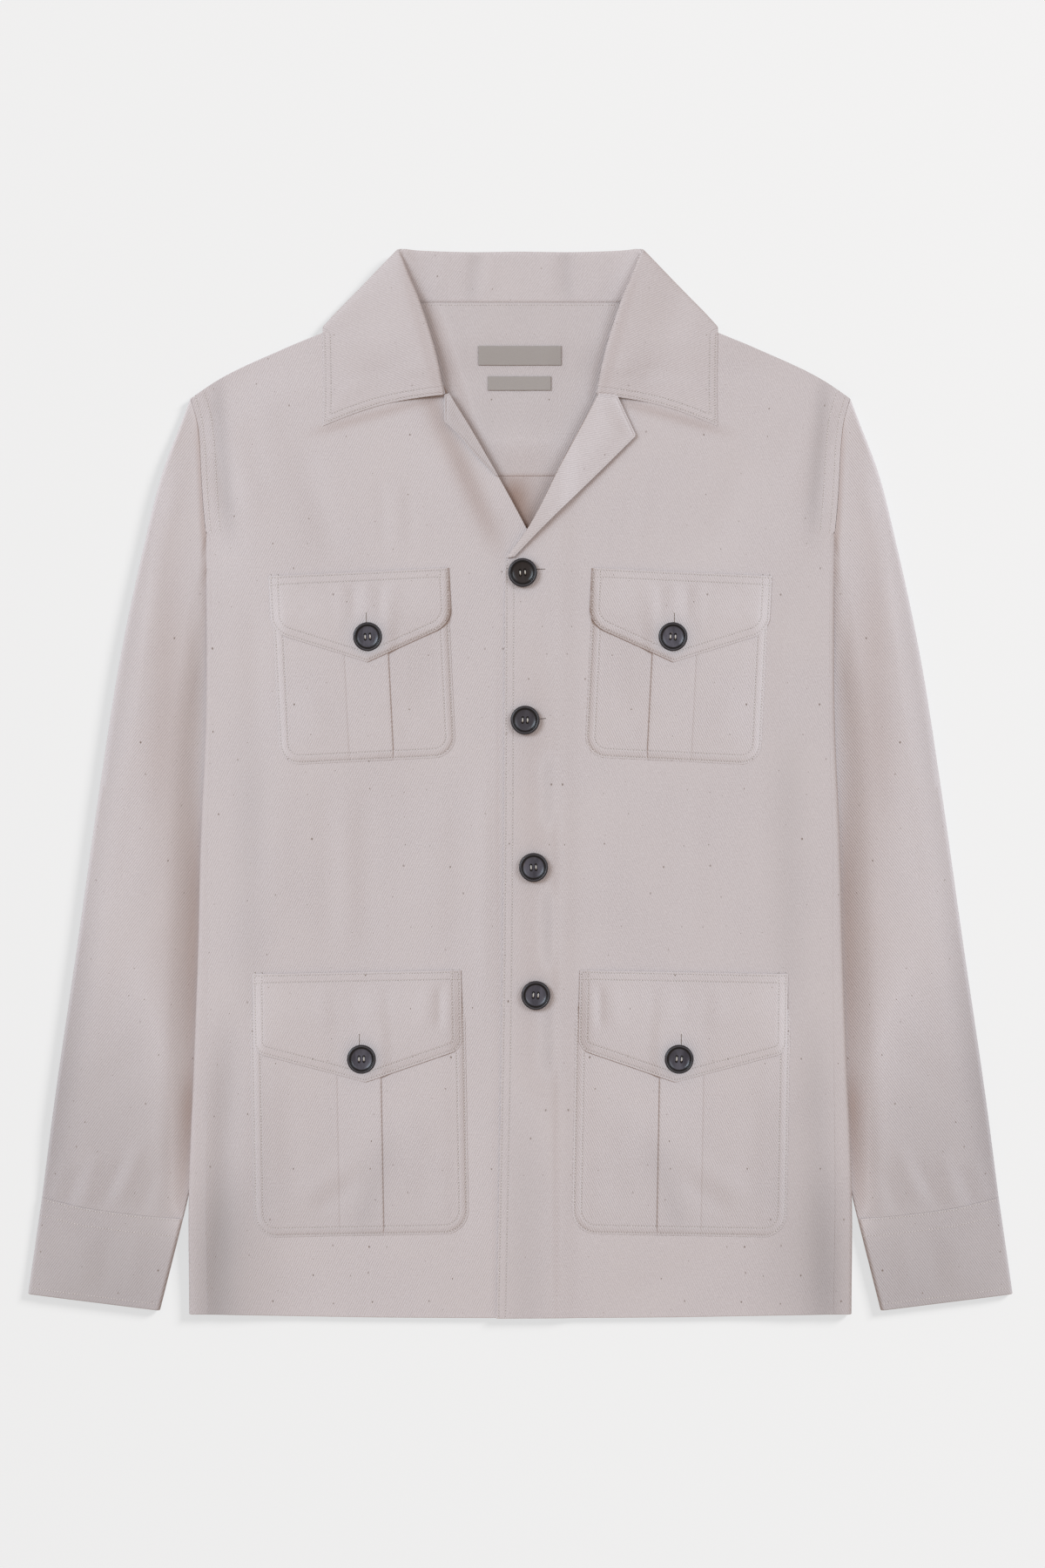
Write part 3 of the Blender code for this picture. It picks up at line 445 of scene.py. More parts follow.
# soft folds of the fronts: x0 y0 x1 y1, half width and height (a trough is negative)
frontFolds = {
    "form": ((-62, 250, -8, 172, 13, 1.3), (-150, 250, -190, 60, 34, 0.9), (150, 250, 190, 60, 34, 0.9),
             (-60, 0, -56, -110, 30, 0.8), (72, 10, 60, -110, 30, 0.8)),
    "right": ((-233, 276, -203, 186, 9, -1.0), (-212, 268, -184, 184, 10, 0.7),
              (-160, 250, -129, 152, 11, -0.9), (-184, 282, -172, 190, 11, 0.5),
              (-100, 222, -97, 160, 4, -0.25), (-88, 222, -88, 160, 4, 0.2), (-79, 220, -77, 160, 4, -0.25),
              (-78, 322, -6, 160, 9, -0.8), (-84, 268, -36, 176, 12, 0.4), (-189, 140, -187, 15, 9, -0.6),
              (-205, -150, -219, -420, 11, -1.7), (-139, 20, -136, -140, 9, -0.4),
              (-124, 10, -122, -130, 7, 0.3), (-110, 20, -108, -140, 8, -0.4), (-24, 30, -26, -190, 6, 0.5),
              (-44, 20, -46, -150, 9, -0.4), (-60, 120, -70, 40, 12, -0.5), (-150, -330, -60, -372, 14, -0.5),
              (-40, -200, -44, -350, 12, -0.5), (-168, 60, -176, -120, 12, 0.5)),
    "left": ((233, 276, 204, 184, 9, -0.9), (211, 268, 184, 186, 10, 0.7), (163, 248, 136, 155, 11, -0.9),
             (184, 282, 173, 190, 11, 0.5), (99, 222, 96, 160, 4, -0.25), (87, 222, 86, 160, 4, 0.2),
             (77, 220, 76, 160, 4, -0.2), (189, 142, 186, 20, 9, -0.6), (205, -152, 219, -420, 11, -1.7),
             (138, 22, 139, -138, 9, -0.4), (123, 10, 124, -130, 7, 0.3), (110, 20, 109, -140, 8, -0.35),
             (18, 135, 18, 76, 8, -0.5), (19, 20, 20, -136, 7, -0.5), (24.5, 60, 25.5, -420, 2.6, -0.45),
             (31, 20, 32, -140, 7, 0.35), (48, 20, 50, -150, 9, -0.4), (64, 118, 72, 40, 12, -0.5),
             (60, -372, 150, -330, 14, -0.5), (44, -200, 46, -352, 12, -0.5), (170, 58, 178, -122, 12, 0.5)),
}
fadeShare = 0.3  # part of its length over which a fold fades at each end


def handOf(side):
    return "left" if side > 0 else "right"


def ridges(table, x, y):
    total = np.zeros(np.broadcast(x, y).shape)
    for x0, y0, x1, y1, halfWidth, height in table:
        length = math.hypot(x1 - x0, y1 - y0)
        ax, ay = (x1 - x0) / length, (y1 - y0) / length
        run = (x - x0) * ax + (y - y0) * ay
        off = (y - y0) * ax - (x - x0) * ay
        ends = smoothStep(run / (fadeShare * length)) * smoothStep((length - run) / (fadeShare * length))
        total = total + height * ends * np.exp(-((off / halfWidth) ** 2))
    return total


# soft painted shade of the cloth, in the same columns: a warm painted shade in hollows, a grey painted shade
# (negative) where it turns from the light
shading = {
    "front": ((207, -140, 222, -440, 12, -0.55), (212, -250, 220, -530, 20, -0.8),
              (185, -170, 185, -440, 18, -0.3), (190, 70, 192, -200, 12, -0.3), (218, 306, 205, 160, 6, -0.7),
              (160, 246, 40, 281, 3.5, 0.6)),
    "right": ((-81, 312, -8, 150, 8.0, 0.75), (-14.5, 220, -18.5, -520, 1.6, 0.2),
              (-206, -250, -212, -470, 14, -0.3)),
    "left": ((95, 259, -16, 148, 3.0, 0.5), (24.5, 70, 25.5, -470, 2.6, 0.3), (19, 30, 20, -40, 7, -0.4),
             (19, -64, 20, -140, 7, -0.5), (20, -142, 20, -215, 8, -0.5), (4, -190, 4, -560, 14, -0.3),
             (10, 140, 11, -280, 13, 0.28)),
    "pocket": ((120, -215, 120, -470, 62, -0.28), (90, -240, 118, -330, 9, -0.3)),
    "sleeve": ((236, 190, 250, -330, 20, 0.42), (229, 20, 236, -340, 7, 1.0), (235, -190, 244, -335, 9, 0.95),
               (300, -110, 300, -600, 110, -0.75), (300, -250, 300, -700, 110, -0.45),
               (254, 257, 354, -384, 9, -0.4), (300, -60, 344, -340, 14, -0.35),
               (246, 230, 262, -60, 11, 0.3), (231, 285, 222, 125, 2.2, 0.9)),
    "upperBack": ((0, 300, 0, 90, 60, 0.5), (-12, 226, 10, 150, 12, 1.6)),
    "yoke": ((0, 262, 0, 150, 50, 0.5), (0, 480, 0, 160, 90, -0.25), (-20, 205, -73, 370, 6, 0.6),
             (-60, 218.4, 60, 218.4, 1.2, 1.8)),
    "collar": ((-36, 334, -31, 392, 5, -0.35), (35, 334, 31, 392, 5, -0.35)),
    "leaf": ((50, 250, 90, 394, 4, 0.3),),
}
shadeLimits = {"front": (-1.5, 1.2), "back": (-1.5, 1.0), "sleeve": (-1.3, 1.7)}


def frontShade(side, x, y):
    both = ridges(shading["front"], np.abs(x), y)
    return np.clip(both + ridges(shading[handOf(side)], x, y), *shadeLimits["front"])


def sideX(y):
    side = np.array(body["side"])
    armhole = np.array(body["armhole"])
    below = throughRows(side[:, 0], side[:, 1], y)
    return np.where(np.asarray(y) > body["armpit"], throughRows(armhole[:, 0], armhole[:, 1], y), below)


def seamX(y):
    side = np.array(body["side"])
    return throughRows(side[:, 0], side[:, 1], y) - throughRows(side[:, 0], side[:, 2], y)


def tuckX(y):
    tuck = np.array(body["tuck"])
    return np.interp(y, tuck[:, 0], tuck[:, 1])


def shoulderY(x):
    line = np.array(body["shoulder"])
    return np.interp(np.abs(x), line[:, 0], line[:, 1])


def overFall(x, y, ease=1.0):
    along = smoothStep((np.asarray(y) - lay["fallTop"] + lay["fallRamp"] * ease) / (lay["fallRamp"] * ease))
    across = 1.0 - smoothStep((np.abs(x) - lay["fallHalf"]) / (lay["fallSideRamp"] * ease))
    return lay["collarLift"] * along * across


def backUnder(x, y):
    tuck = smoothStep((np.abs(x) - tuckX(y) + lay["tuckRamp"]) / lay["tuckRamp"])
    return lay["tuckLift"] * tuck + overFall(x, y, lay["frontEase"])


def byButtons(x, y):  # creases fade out under the buttons, which keep their seats
    spots = list(buttonSpots["front"])
    for row in pockets.values():
        for side in (-1, 1):
            spots.append(tuple(pocketPlace(np.array([row["buttonX"], -row["buttonDrop"]]), row, side)))
    calm = np.ones(np.broadcast(x, y).shape)
    for bx, by in spots:
        calm = calm * smoothStep((np.hypot(x - bx, y - by) - buttonSpots["calm"]) / buttonSpots["ramp"])
    return calm


def rollLift(side, x, y):  # the fronts rise towards the roll of the lapels
    x, y = np.broadcast_arrays(np.asarray(x, float), np.asarray(y, float))
    row = fronts[handOf(side)]
    off = gapTo(np.stack([x, y], axis=-1), lineThrough(row["roll"], np.linspace(0, 1, 16)))
    (low, lowRamp), (high, highRamp) = fronts["rollFrom"], fronts["rollTo"]
    ends = smoothStep((y - low) / lowRamp) * smoothStep((high - y) / highRamp)
    return row["lift"] * ends * np.exp(-((off / fronts["rollSpread"]) ** 2))


def frontForm(side, x, y, creased=True):  # top of a front
    tuck = smoothStep((np.abs(x) - tuckX(y) + lay["frontRamp"]) / lay["frontRamp"])
    aboveArmpit = smoothStep((y - body["armpit"] + lay["armpitEase"]) / lay["armpitEase"])
    byArmhole = smoothStep((sideX(y) - np.abs(x)) / lay["armholeEase"])
    byShoulder = smoothStep((shoulderY(x) - y) / lay["shoulderEase"])
    byHem = smoothStep((y - body["hem"]) / lay["hemEase"])
    air = lay["hemAir"] + (lay["air"] - lay["hemAir"]) * byHem
    air = air * (1 - aboveArmpit * (1 - byArmhole)) * byShoulder
    under = lay["cloth"] + lay["gap"] + air + lay["tuckLift"] * tuck + overFall(x, y, lay["frontEase"])
    under = under + ridges(frontFolds["form"], x, y) * byShoulder
    if side > 0:
        over = 1 - smoothStep((x - lay["underlap"] - lay["overlapMargin"]) / lay["overlapRamp"])
        under = under + (lay["cloth"] + lay["gap"]) * over
    if creased:
        under = under + rollLift(side, x, y)
        under = under + ridges(frontFolds[handOf(side)], x, y) * byButtons(x, y)
    return under + lay["cloth"]


# pockets: the middle of the flap's top edge, and sizes from there
pockets = {
    "chest": {"x": 114.6, "y": 150.6, "tilt": -2.8, "width": 125.0, "depth": 134.5, "corner": 15.0,
              "mouth": 16.0, "pleatX": -2.3, "pleatWidth": 30.5, "flapWidth": 128.0, "flapSide": 40.0,
              "flapPoint": 64.5, "flapPointX": -3.0, "flapCorner": 11.0, "innerSeat": 4.5, "innerTaper": 2.6,
              "buttonX": -4.3, "buttonDrop": 46.7},
    "hip": {"x": 116.0, "y": -133.5, "tilt": -1.0, "width": 152.5, "depth": 187.5, "corner": 17.0,
            "mouth": 17.0, "pleatX": 0.0, "pleatWidth": 30.5, "flapWidth": 148.0, "flapSide": 56.0,
            "flapPoint": 78.5, "flapPointX": -4.6, "flapCorner": 7.0, "innerSeat": 16.0, "innerTaper": 8.6,
            "buttonX": -2.4, "buttonDrop": 61.5},
}


def pocketPlace(local, row, side):
    turn = math.radians(row["tilt"])
    x = row["x"] + local[..., 0] * math.cos(turn) - local[..., 1] * math.sin(turn)
    y = row["y"] + local[..., 0] * math.sin(turn) + local[..., 1] * math.cos(turn)
    return np.stack([side * x, y], axis=-1)


def grain(x, y, hand=1.0, run=twillSize["steep"]):  # flat cut, turned so that the twill runs at this angle
    turn = math.radians(twillSize["steep"] - run)
    x = hand * np.asarray(x)
    across = x * math.cos(turn) - y * math.sin(turn)
    along = x * math.sin(turn) + y * math.cos(turn)
    return np.stack([across, along], axis=-1)


def lift(grid, heights):
    return np.concatenate([grid, heights[..., None]], axis=-1)


def facingUp(side, *grids):  # columns run outwards from the middle, so the right-hand ones are turned round
    return grids if side > 0 else tuple(grid[:, ::-1] for grid in grids)


hands = ((-1, "right"), (1, "left"))

# fronts: the left one lies on the right one as far as its placket
fronts = {
    "left": {"edge": ((-17.0, -380.0), (-13.0, -160.0), (-10.9, 158.0)),
             "roll": ((-10.9, 158.0), (4.4, 180.4), (29.4, 228.5), (54.3, 276.5)),
             "rest": ["back_cloth", "front_right_cloth", "sleeve_left_cloth"], "lift": 2.4},
    "right": {"edge": ((22.0, -380.0), (22.0, -160.0), (20.0, 152.0)),
              "roll": ((20.0, 152.0), (14.0, 163.7), (-15.2, 218.2), (-37.8, 257.3), (-53.6, 282.0)),
              "rest": ["back_cloth", "sleeve_right_cloth"], "lift": 0.9},
    "neckline": ((66.0, 309.0), (76.0, 333.0), (80.0, 349.5)),
    "rollSpread": 13.0, "rollFrom": (162.0, 40.0), "rollTo": (290.0, 24.0),
    "rowStep": 3.0, "columnStep": 2.6, "lowRun": 535.0, "highRun": 190.0, "across": 240.0,
    "lowShare": 0.65, "turnShare": 0.70, "seamLap": 0.9, "seamTop": 3.0, "armFrom": 1.0,
    "hemX": 120.0, "hemShare": 0.7, "placket": 26.0, "rim": 0.6, "rims": (0.6, 0.08),
    "welt": 0.45, "weltWidth": 12.0, "weltEdge": 2.5, "weltFrom": 2.0, "weltRamp": 30.0,
}


def frontEdges(side, hand, v):
    lowShare, turnShare = fronts["lowShare"], fronts["turnShare"]
    low = v <= lowShare
    lowAt = np.clip(v / lowShare, 0, 1)
    highAt = np.clip((v - lowShare) / (1 - lowShare), 0, 1)
    row = fronts[hand]
    neckline = np.array(fronts["neckline"]) * (side, 1.0)
    upper = tuple(row["roll"]) + tuple(map(tuple, neckline))
    inner = np.where(low[:, None], lineThrough(row["edge"], lowAt), lineThrough(upper, highAt))
    ys = body["hem"] + (body["armpit"] - fronts["seamTop"] - body["hem"]) * lowAt
    seam = np.stack([seamX(ys) + fronts["seamLap"], ys], axis=1)
    armAt = np.clip((v - turnShare) / (1 - turnShare), 0, 1)
    armLow = body["armpit"] + fronts["armFrom"]
    armY = armLow + (body["shoulderPoint"][1] - body["armpit"] - fronts["armFrom"]) * armAt
    armhole = np.stack([sideX(armY) - lay["seam"], armY], axis=1)
    turn = np.clip((v - lowShare) / (turnShare - lowShare), 0, 1)[:, None]
    outer = seam * (1 - turn) + armhole * turn
    return inner, outer * (side, 1.0)


def armholeLine(side):
    ys = np.linspace(body["armpit"], body["shoulderPoint"][1], 40)
    return np.stack([side * sideX(ys), ys], axis=1)


def makeFront(side, hand):
    step, lowShare = fronts["rowStep"], fronts["lowShare"]
    low = shares(fronts["lowRun"], step, (fronts["rim"], step))[:-4] * lowShare
    high = lowShare + shares(fronts["highRun"], step, (step, fronts["rim"]))[4:] * (1 - lowShare)
    v = np.concatenate([low, high[1:]])
    u = shares(fronts["across"], fronts["columnStep"], fronts["rims"])
    inner, outer = frontEdges(side, hand, v)
    shoulder = lineThrough(body["shoulder"], u) * (side, 1.0)
    shoulder[-1] = outer[-1]
    hemMiddle = (side * fronts["hemX"], body["hem"] - fronts["hemShare"] * body["hemDrop"])
    hem = lineThrough((inner[0], hemMiddle, outer[0]), u)
    grid = patchBetween(hem, shoulder, inner, outer, u, v)
    x, y = grid[..., 0], grid[..., 1]
    height = frontForm(side, x, y) - lay["cloth"] / 2
    welt = fronts["welt"] * smoothStep((y - body["armpit"] - fronts["weltFrom"]) / fronts["weltRamp"])
    fromArmhole = gapTo(grid, armholeLine(side))
    height = height + welt * smoothStep((fronts["weltWidth"] - fromArmhole) / fronts["weltEdge"])
    edge = lineThrough(fronts[hand]["edge"], np.linspace(0, 1, 60))
    grids = (lift(grid, height), grain(x, y), gapTo(grid, edge), frontShade(side, x, y))
    mid, cut, gap, shade = facingUp(side, *grids)
    placket = {"edgeGap": gap, "mirrorAt": fronts["placket"]} if side > 0 else {}
    layCloth("front_" + hand, mid, lay["cloth"], cut, fronts[hand]["rest"], shade=shade, **placket)


# back: a sheet that rolls up at each side and over to the side seam
backSize = {"half": 232, "rowStep": 4.0, "columnStep": 4.0, "rollSteps": 9, "under": 0.12, "topLap": 0.8,
            "hemRamp": 40.0, "rim": 0.08, "rimFrom": 0.4, "rims": (0.6, 0.6)}


def sideRoll(side, y):  # up round the side, then over to the seam
    width = float(sideX(y)) - lay["sideRoll"]
    seam = float(seamX(y))
    start = float(backUnder(width, y))
    top = float(frontForm(side, side * seam, y)) - backSize["under"]
    radius = 0.5 * (top - start)
    turns = np.radians(np.linspace(-90, 90, backSize["rollSteps"])[1:])
    span = width - seam
    rim = backSize["rim"] / span
    over = np.concatenate([np.linspace(0, 1 - backSize["rimFrom"] / span, 4)[1:], [1 - rim],
                           1 - rimTurn[2::-1] * backSize["rim"] / span])
    xs = np.concatenate([width + lay["sideRoll"] * np.cos(turns), width - span * over])
    zs = np.concatenate([start + radius * (1 + np.sin(turns)), np.full(len(over), top)])
    return np.stack([side * xs, np.full(len(xs), y), zs], axis=1)


def makeBack():
    count = int(2 * backSize["half"] / backSize["columnStep"])
    tall = body["armpit"] + backSize["topLap"] - body["hem"]
    ys = body["hem"] + shares(tall, backSize["rowStep"], backSize["rims"]) * tall
    flat = np.linspace(-1, 1, count + 1)
    rows, cuts = [], []
    for y in ys:
        xs = flat * (float(sideX(y)) - lay["sideRoll"])
        byHem = smoothStep((body["hem"] + backSize["hemRamp"] - y) / backSize["hemRamp"])
        drop = body["hemDrop"] * (1 - flat**2) * byHem
        floor = np.stack([xs, y - drop, backUnder(xs, y - drop)], axis=1)
        left = sideRoll(1, y)
        line = np.concatenate([sideRoll(-1, y)[::-1], floor, left])
        rows.append(line)
        across = line[:, 0].copy()
        across[-len(left):] = 2 * fronts["placket"] - across[-len(left):]
        cuts.append(np.stack([across, line[:, 1]], axis=1))
    outer = np.array(rows)
    mid = outer + gridNormals(outer, False) * lay["cloth"] / 2
    shade = np.clip(ridges(shading["front"], np.abs(mid[..., 0]), mid[..., 1]), *shadeLimits["back"])
    layCloth("back", mid, lay["cloth"], np.array(cuts), [], shade=shade)


# upper back: the strip of the back between the armpits and the yoke, which it reaches under
upperBack = {"from": 1.2, "lap": 0.15, "step": 4.0, "across": 446.0, "narrowBelow": 179.0, "inset": 1.0}


def makeUpperBack():
    low = body["armpit"] + upperBack["from"]
    tall = body["yokeSeam"] + upperBack["lap"] - low
    ys = low + shares(tall, upperBack["step"]) * tall
    u = shares(upperBack["across"], upperBack["step"]) * 2 - 1
    half = np.minimum(sideX(ys), sideX(np.maximum(ys, upperBack["narrowBelow"])))
    xs = u[None, :] * (half - lay["seam"] - upperBack["inset"])[:, None]
    grid = np.stack([xs, np.repeat(ys[:, None], len(u), axis=1)], axis=-1)
    x, y = grid[..., 0], grid[..., 1]
    mid = lift(grid, backUnder(x, y) + lay["cloth"] / 2)
    shade = ridges(shading["upperBack"], x, y)
    layCloth("back_upper", mid, lay["cloth"], grain(x, y), ["back_cloth"], stands=False, shade=shade)


# yoke: from its seam up to the shoulders and the neck
yoke = {
    "tall": 123.0, "across": 470.0, "step": 2.6, "inset": 1.0, "neckFrom": 5 / 16,
    "rims": (0.6, 0.15), "sideRims": (0.4, 0.4),
    "folds": ((-30, 338, -22, 262, 8, 0.5), (24, 338, 16, 258, 8, 0.45), (-48, 322, -40, 290, 6, 0.3),
              (46, 320, 38, 288, 6, 0.3), (2, 280, 4, 226, 9, 0.35)),
}


def makeYoke():
    v = shares(yoke["tall"], yoke["step"], yoke["rims"])
    sideY = body["yokeSeam"] + (body["shoulderPoint"][1] - yoke["inset"] - body["yokeSeam"]) * v
    right = np.stack([sideX(sideY) - lay["seam"], sideY], axis=1)
    u = shares(yoke["across"], yoke["step"], yoke["sideRims"])
    bottom = lineThrough((mirrored([right[0]])[0], right[0]), u)
    even = np.linspace(0, 1, 60)
    shoulder = lineThrough(body["shoulder"], even)
    shoulder[-1] = right[-1]
    neck = lineThrough(body["neck"] + tuple(map(tuple, mirrored(body["neck"][-2::-1]))), even)
    line = np.concatenate([mirrored(shoulder[::-1]), neck[::-1][1:], shoulder[1:]])
    start, end = yoke["neckFrom"], 1 - yoke["neckFrom"]
    knee = np.concatenate([even * start, np.linspace(start, end, 60)[1:], np.linspace(end, 1, 60)[1:]])
    top = np.stack([np.interp(u, knee, line[:, axis]) for axis in (0, 1)], axis=1)
    grid = patchBetween(bottom, top, mirrored(right), right, u, v)
    x, y = grid[..., 0], grid[..., 1]
    mid = lift(grid, backUnder(x, y) + lay["cloth"] / 2 + ridges(yoke["folds"], x, y))
    shade = ridges(shading["yoke"], x, y)
    rest = ["back_cloth", "collar_cloth"]
    layCloth("yoke", mid, lay["cloth"], grain(x, -y), rest, mirrorAt=0.0, shade=shade)


# tubes: closed rings round a flattened sleeve or cuff, from its outline and the height of its top
tubeTurns = np.radians((-70.0, -45.0, -20.0, 0.0, 20.0, 45.0, 70.0))


def tubeRings(grid, heights):
    ends, flat = [], grid.copy()
    for end, near in ((0, 1), (-1, -2)):
        out = grid[:, end] - grid[:, near]
        out = out / np.linalg.norm(out, axis=1, keepdims=True)
        radius = 0.5 * heights[:, end]
        flat[:, end] = grid[:, end] - out * radius[:, None]
        arc = [np.concatenate([flat[:, end] + out * (radius * math.cos(t))[:, None],
                               (radius * (1 + math.sin(t)))[:, None]], axis=1) for t in tubeTurns]
        ends.append(np.stack(arc, axis=1))
    under = lift(flat, np.zeros(heights.shape))
    over = lift(flat, heights)[:, ::-1]
    return np.concatenate([under, ends[1], over, ends[0][:, ::-1]], axis=1)


def tubeCut(rings, columns):  # flat on top, and folded out past the outer edge underneath
    turn = math.radians(sleeves["axis"])
    x, y = np.abs(rings[..., 0]), rings[..., 1]
    across = x * math.cos(turn) + y * math.sin(turn)
    along = -x * math.sin(turn) + y * math.cos(turn)
    outer = across.max(axis=1, keepdims=True)
    lowTurns = len(tubeTurns) // 2
    below = np.zeros(rings.shape[1], bool)
    below[:columns + lowTurns] = True
    below[-lowTurns:] = True
    across = np.where(below[None, :], 2 * outer - across, across)
    cut = np.stack([-across, along], axis=-1)
    return np.concatenate([cut, cut[:, :1]], axis=1)


def layTube(node, grid, heights, thick, side):
    rings = tubeRings(grid, heights)
    cut = tubeCut(rings, heights.shape[1])
    if side > 0:
        rings, cut = rings[:, ::-1], cut[:, ::-1]
        cut = np.concatenate([cut[:, 1:], cut[:, 1:2]], axis=1)
    else:
        rings = mirrored(rings)
    mid = rings - gridNormals(rings, True) * thick / 2
    shade = np.clip(ridges(shading["sleeve"], np.abs(mid[..., 0]), mid[..., 1]), *shadeLimits["sleeve"])
    layCloth(node, mid, thick, cut, [], wrap=True, shade=shade)


sleeves = {
    "outer": ((340.4, -293.9), (331.0, -223.0), (314.7, -111.6), (298.8, 0.0), (284.0, 93.0), (268.2, 167.4),
              (254.0, 223.2), (240.0, 260.4), (234.9, 274.0)),
    "tucked": (141.0, 110.0), "innerBend": (235.4, -290.0), "split": 3 / 7, "axis": 10.5,
    "long": 580.0, "across": 124, "rowStep": 3.2, "columnStep": 3.0, "rims": (0.2, 0.5),
    "low": 2.6, "swell": 5.2, "swellFrom": 1.0, "cuffRamp": 60.0, "roundOff": 30.0, "roundDrop": 1.2,
    "valley": 22.0, "valleyLoss": 0.6, "valleyFrom": 20.0, "valleyRamp": 120.0,  # narrower towards the armpit
    "sewnFrom": 60.0, "sewnRamp": 110.0, "lapFrom": 5.0, "lapRamp": 7.0,  # level with the front at the seam
    "seamInset": 1.0, "seamDrop": 0.15, "seamEase": 30.0,
    "right": ((262, 180, 300, -150, 16, 0.5), (268, 40, 292, -120, 9, -0.35), (250, -40, 300, -200, 12, -0.3),
              (267, -250, 288, -303, 6, 0.9), (280, -262, 300, -306, 5, -0.6), (300, -258, 312, -306, 5, 0.6),
              (312, -270, 324, -306, 4, -0.5), (322, -262, 334, -304, 4, 0.4),
              (256, -268, 272, -310, 5, -0.5), (256, -180, 318, -232, 12, -0.4),
              (250, -120, 300, -80, 14, 0.35), (236, 100, 276, 70, 12, -0.35), (240, 200, 262, 130, 9, -0.4),
              (244, 250, 250, 180, 6, 0.3)),
    "left": ((262, 182, 300, -150, 16, 0.5), (268, 42, 293, -124, 9, -0.35), (252, -46, 300, -205, 12, -0.3),
             (266, -252, 287, -303, 6, 0.8), (279, -264, 300, -306, 5, -0.6), (299, -256, 311, -306, 5, 0.6),
             (311, -268, 323, -306, 4, -0.5), (321, -262, 334, -304, 4, 0.4), (255, -268, 271, -310, 5, -0.5),
             (256, -178, 318, -228, 12, -0.4), (250, -116, 300, -78, 14, 0.35),
             (236, 104, 276, 72, 12, -0.35), (240, 202, 262, 132, 9, -0.4), (244, 250, 250, 180, 6, 0.3)),
}
cuffs = {
    "seam": ((240.0, -309.4), (279.3, -305.5), (310.6, -301.0), (340.4, -293.9)),
    "hem": ((256.4, -374.5), (350.3, -362.7)), "height": 5.2, "way": (0.4, -1.0), "lap": 0.15,
    "tall": 65.0, "rowStep": 1.8, "columns": 34, "rims": (0.9, 0.3),
    "roundOff": 18.0, "roundDrop": 0.7, "foldEase": 8.0,
    "folds": ((310, -318, 312, -362, 7, 0.4), (272, -314, 276, -366, 7, 0.4), (292, -312, 296, -366, 6, -0.4),
              (328, -308, 332, -358, 6, -0.3)),
}


def makeSleeve(side, hand):
    v = shares(sleeves["long"], sleeves["rowStep"], sleeves["rims"])
    u = np.linspace(0.0, 1.0, int(sleeves["across"] / sleeves["columnStep"]))
    inner = lineThrough((cuffs["seam"][0], sleeves["innerBend"], sleeves["tucked"]), v)
    outer = lineThrough(sleeves["outer"], v)
    armhole = armholeLine(1)
    armhole[-1] = outer[-1]
    split = sleeves["split"]
    tucked = lineThrough((sleeves["tucked"], armhole[0]), np.clip(u / split, 0, 1))
    seenAt = np.clip((u - split) / (1 - split), 0, 1)
    even = np.linspace(0, 1, len(armhole))
    seen = np.stack([np.interp(seenAt, even, armhole[:, axis]) for axis in (0, 1)], axis=1)
    top = np.where((u < split)[:, None], tucked, seen)
    top[-1] = outer[-1]
    grid = patchBetween(lineThrough(cuffs["seam"], u), top, inner, outer, u, v)
    x, y = grid[..., 0], grid[..., 1]
    past = x - sideX(y)
    narrowed = sleeves["valleyLoss"] * smoothStep((y - sleeves["valleyFrom"]) / sleeves["valleyRamp"])
    swell = smoothStep((past - sleeves["swellFrom"]) / (sleeves["valley"] * (1 - narrowed)))
    sewnOn = smoothStep((y - sleeves["sewnFrom"]) / sleeves["sewnRamp"])
    sewnOn = sewnOn * smoothStep((past + sleeves["lapFrom"]) / sleeves["lapRamp"])
    swell = np.maximum(swell, sewnOn)
    fromEdge = np.linalg.norm(grid - grid[:, -1:], axis=-1)
    rounding = sleeves["roundDrop"] * (1 - smoothStep(fromEdge / sleeves["roundOff"]))
    fromCuff = smoothStep(np.linalg.norm(grid - grid[:1], axis=-1) / sleeves["cuffRamp"])
    atCuff = cuffs["height"] - sleeves["low"]
    full = atCuff + (sleeves["swell"] + sleeves["low"] - cuffs["height"]) * fromCuff
    heights = sleeves["low"] + swell * (full - rounding + ridges(sleeves[hand], x, y))
    seamTop = frontForm(side, side * (sideX(y) - sleeves["seamInset"]), y, False) - sleeves["seamDrop"]
    heights = heights + (seamTop - heights) * sewnOn * (1 - smoothStep(past / sleeves["seamEase"]))
    layTube("sleeve_" + hand, grid, heights, lay["cloth"], side)


def makeCuff(side, hand):
    v = shares(cuffs["tall"], cuffs["rowStep"], cuffs["rims"])
    u = np.linspace(0.0, 1.0, cuffs["columns"])
    seam = lineThrough(cuffs["seam"], u) - np.array(cuffs["way"]) * cuffs["lap"]
    hem = lineThrough(cuffs["hem"], u)
    inner, outer = (lineThrough((hem[end], seam[end]), v) for end in (0, -1))
    grid = patchBetween(hem, seam, inner, outer, u, v)
    fromOuter, fromInner = (np.linalg.norm(grid - line, axis=-1) for line in (grid[:, -1:], grid[:, :1]))
    rounding = cuffs["roundDrop"] * (1 - smoothStep(fromOuter / cuffs["roundOff"]))
    ends = smoothStep(fromOuter / cuffs["foldEase"]) * smoothStep(fromInner / cuffs["foldEase"])
    heights = cuffs["height"] - rounding + ends * ridges(cuffs["folds"], grid[..., 0], grid[..., 1])
    layTube("cuff_" + hand, grid, heights, lay["cuff"], side)


makeBack()
makeUpperBack()
makeYoke()
for side, hand in hands:
    makeSleeve(side, hand)
    makeCuff(side, hand)
    makeFront(side, hand)
print("body and sleeves laid")


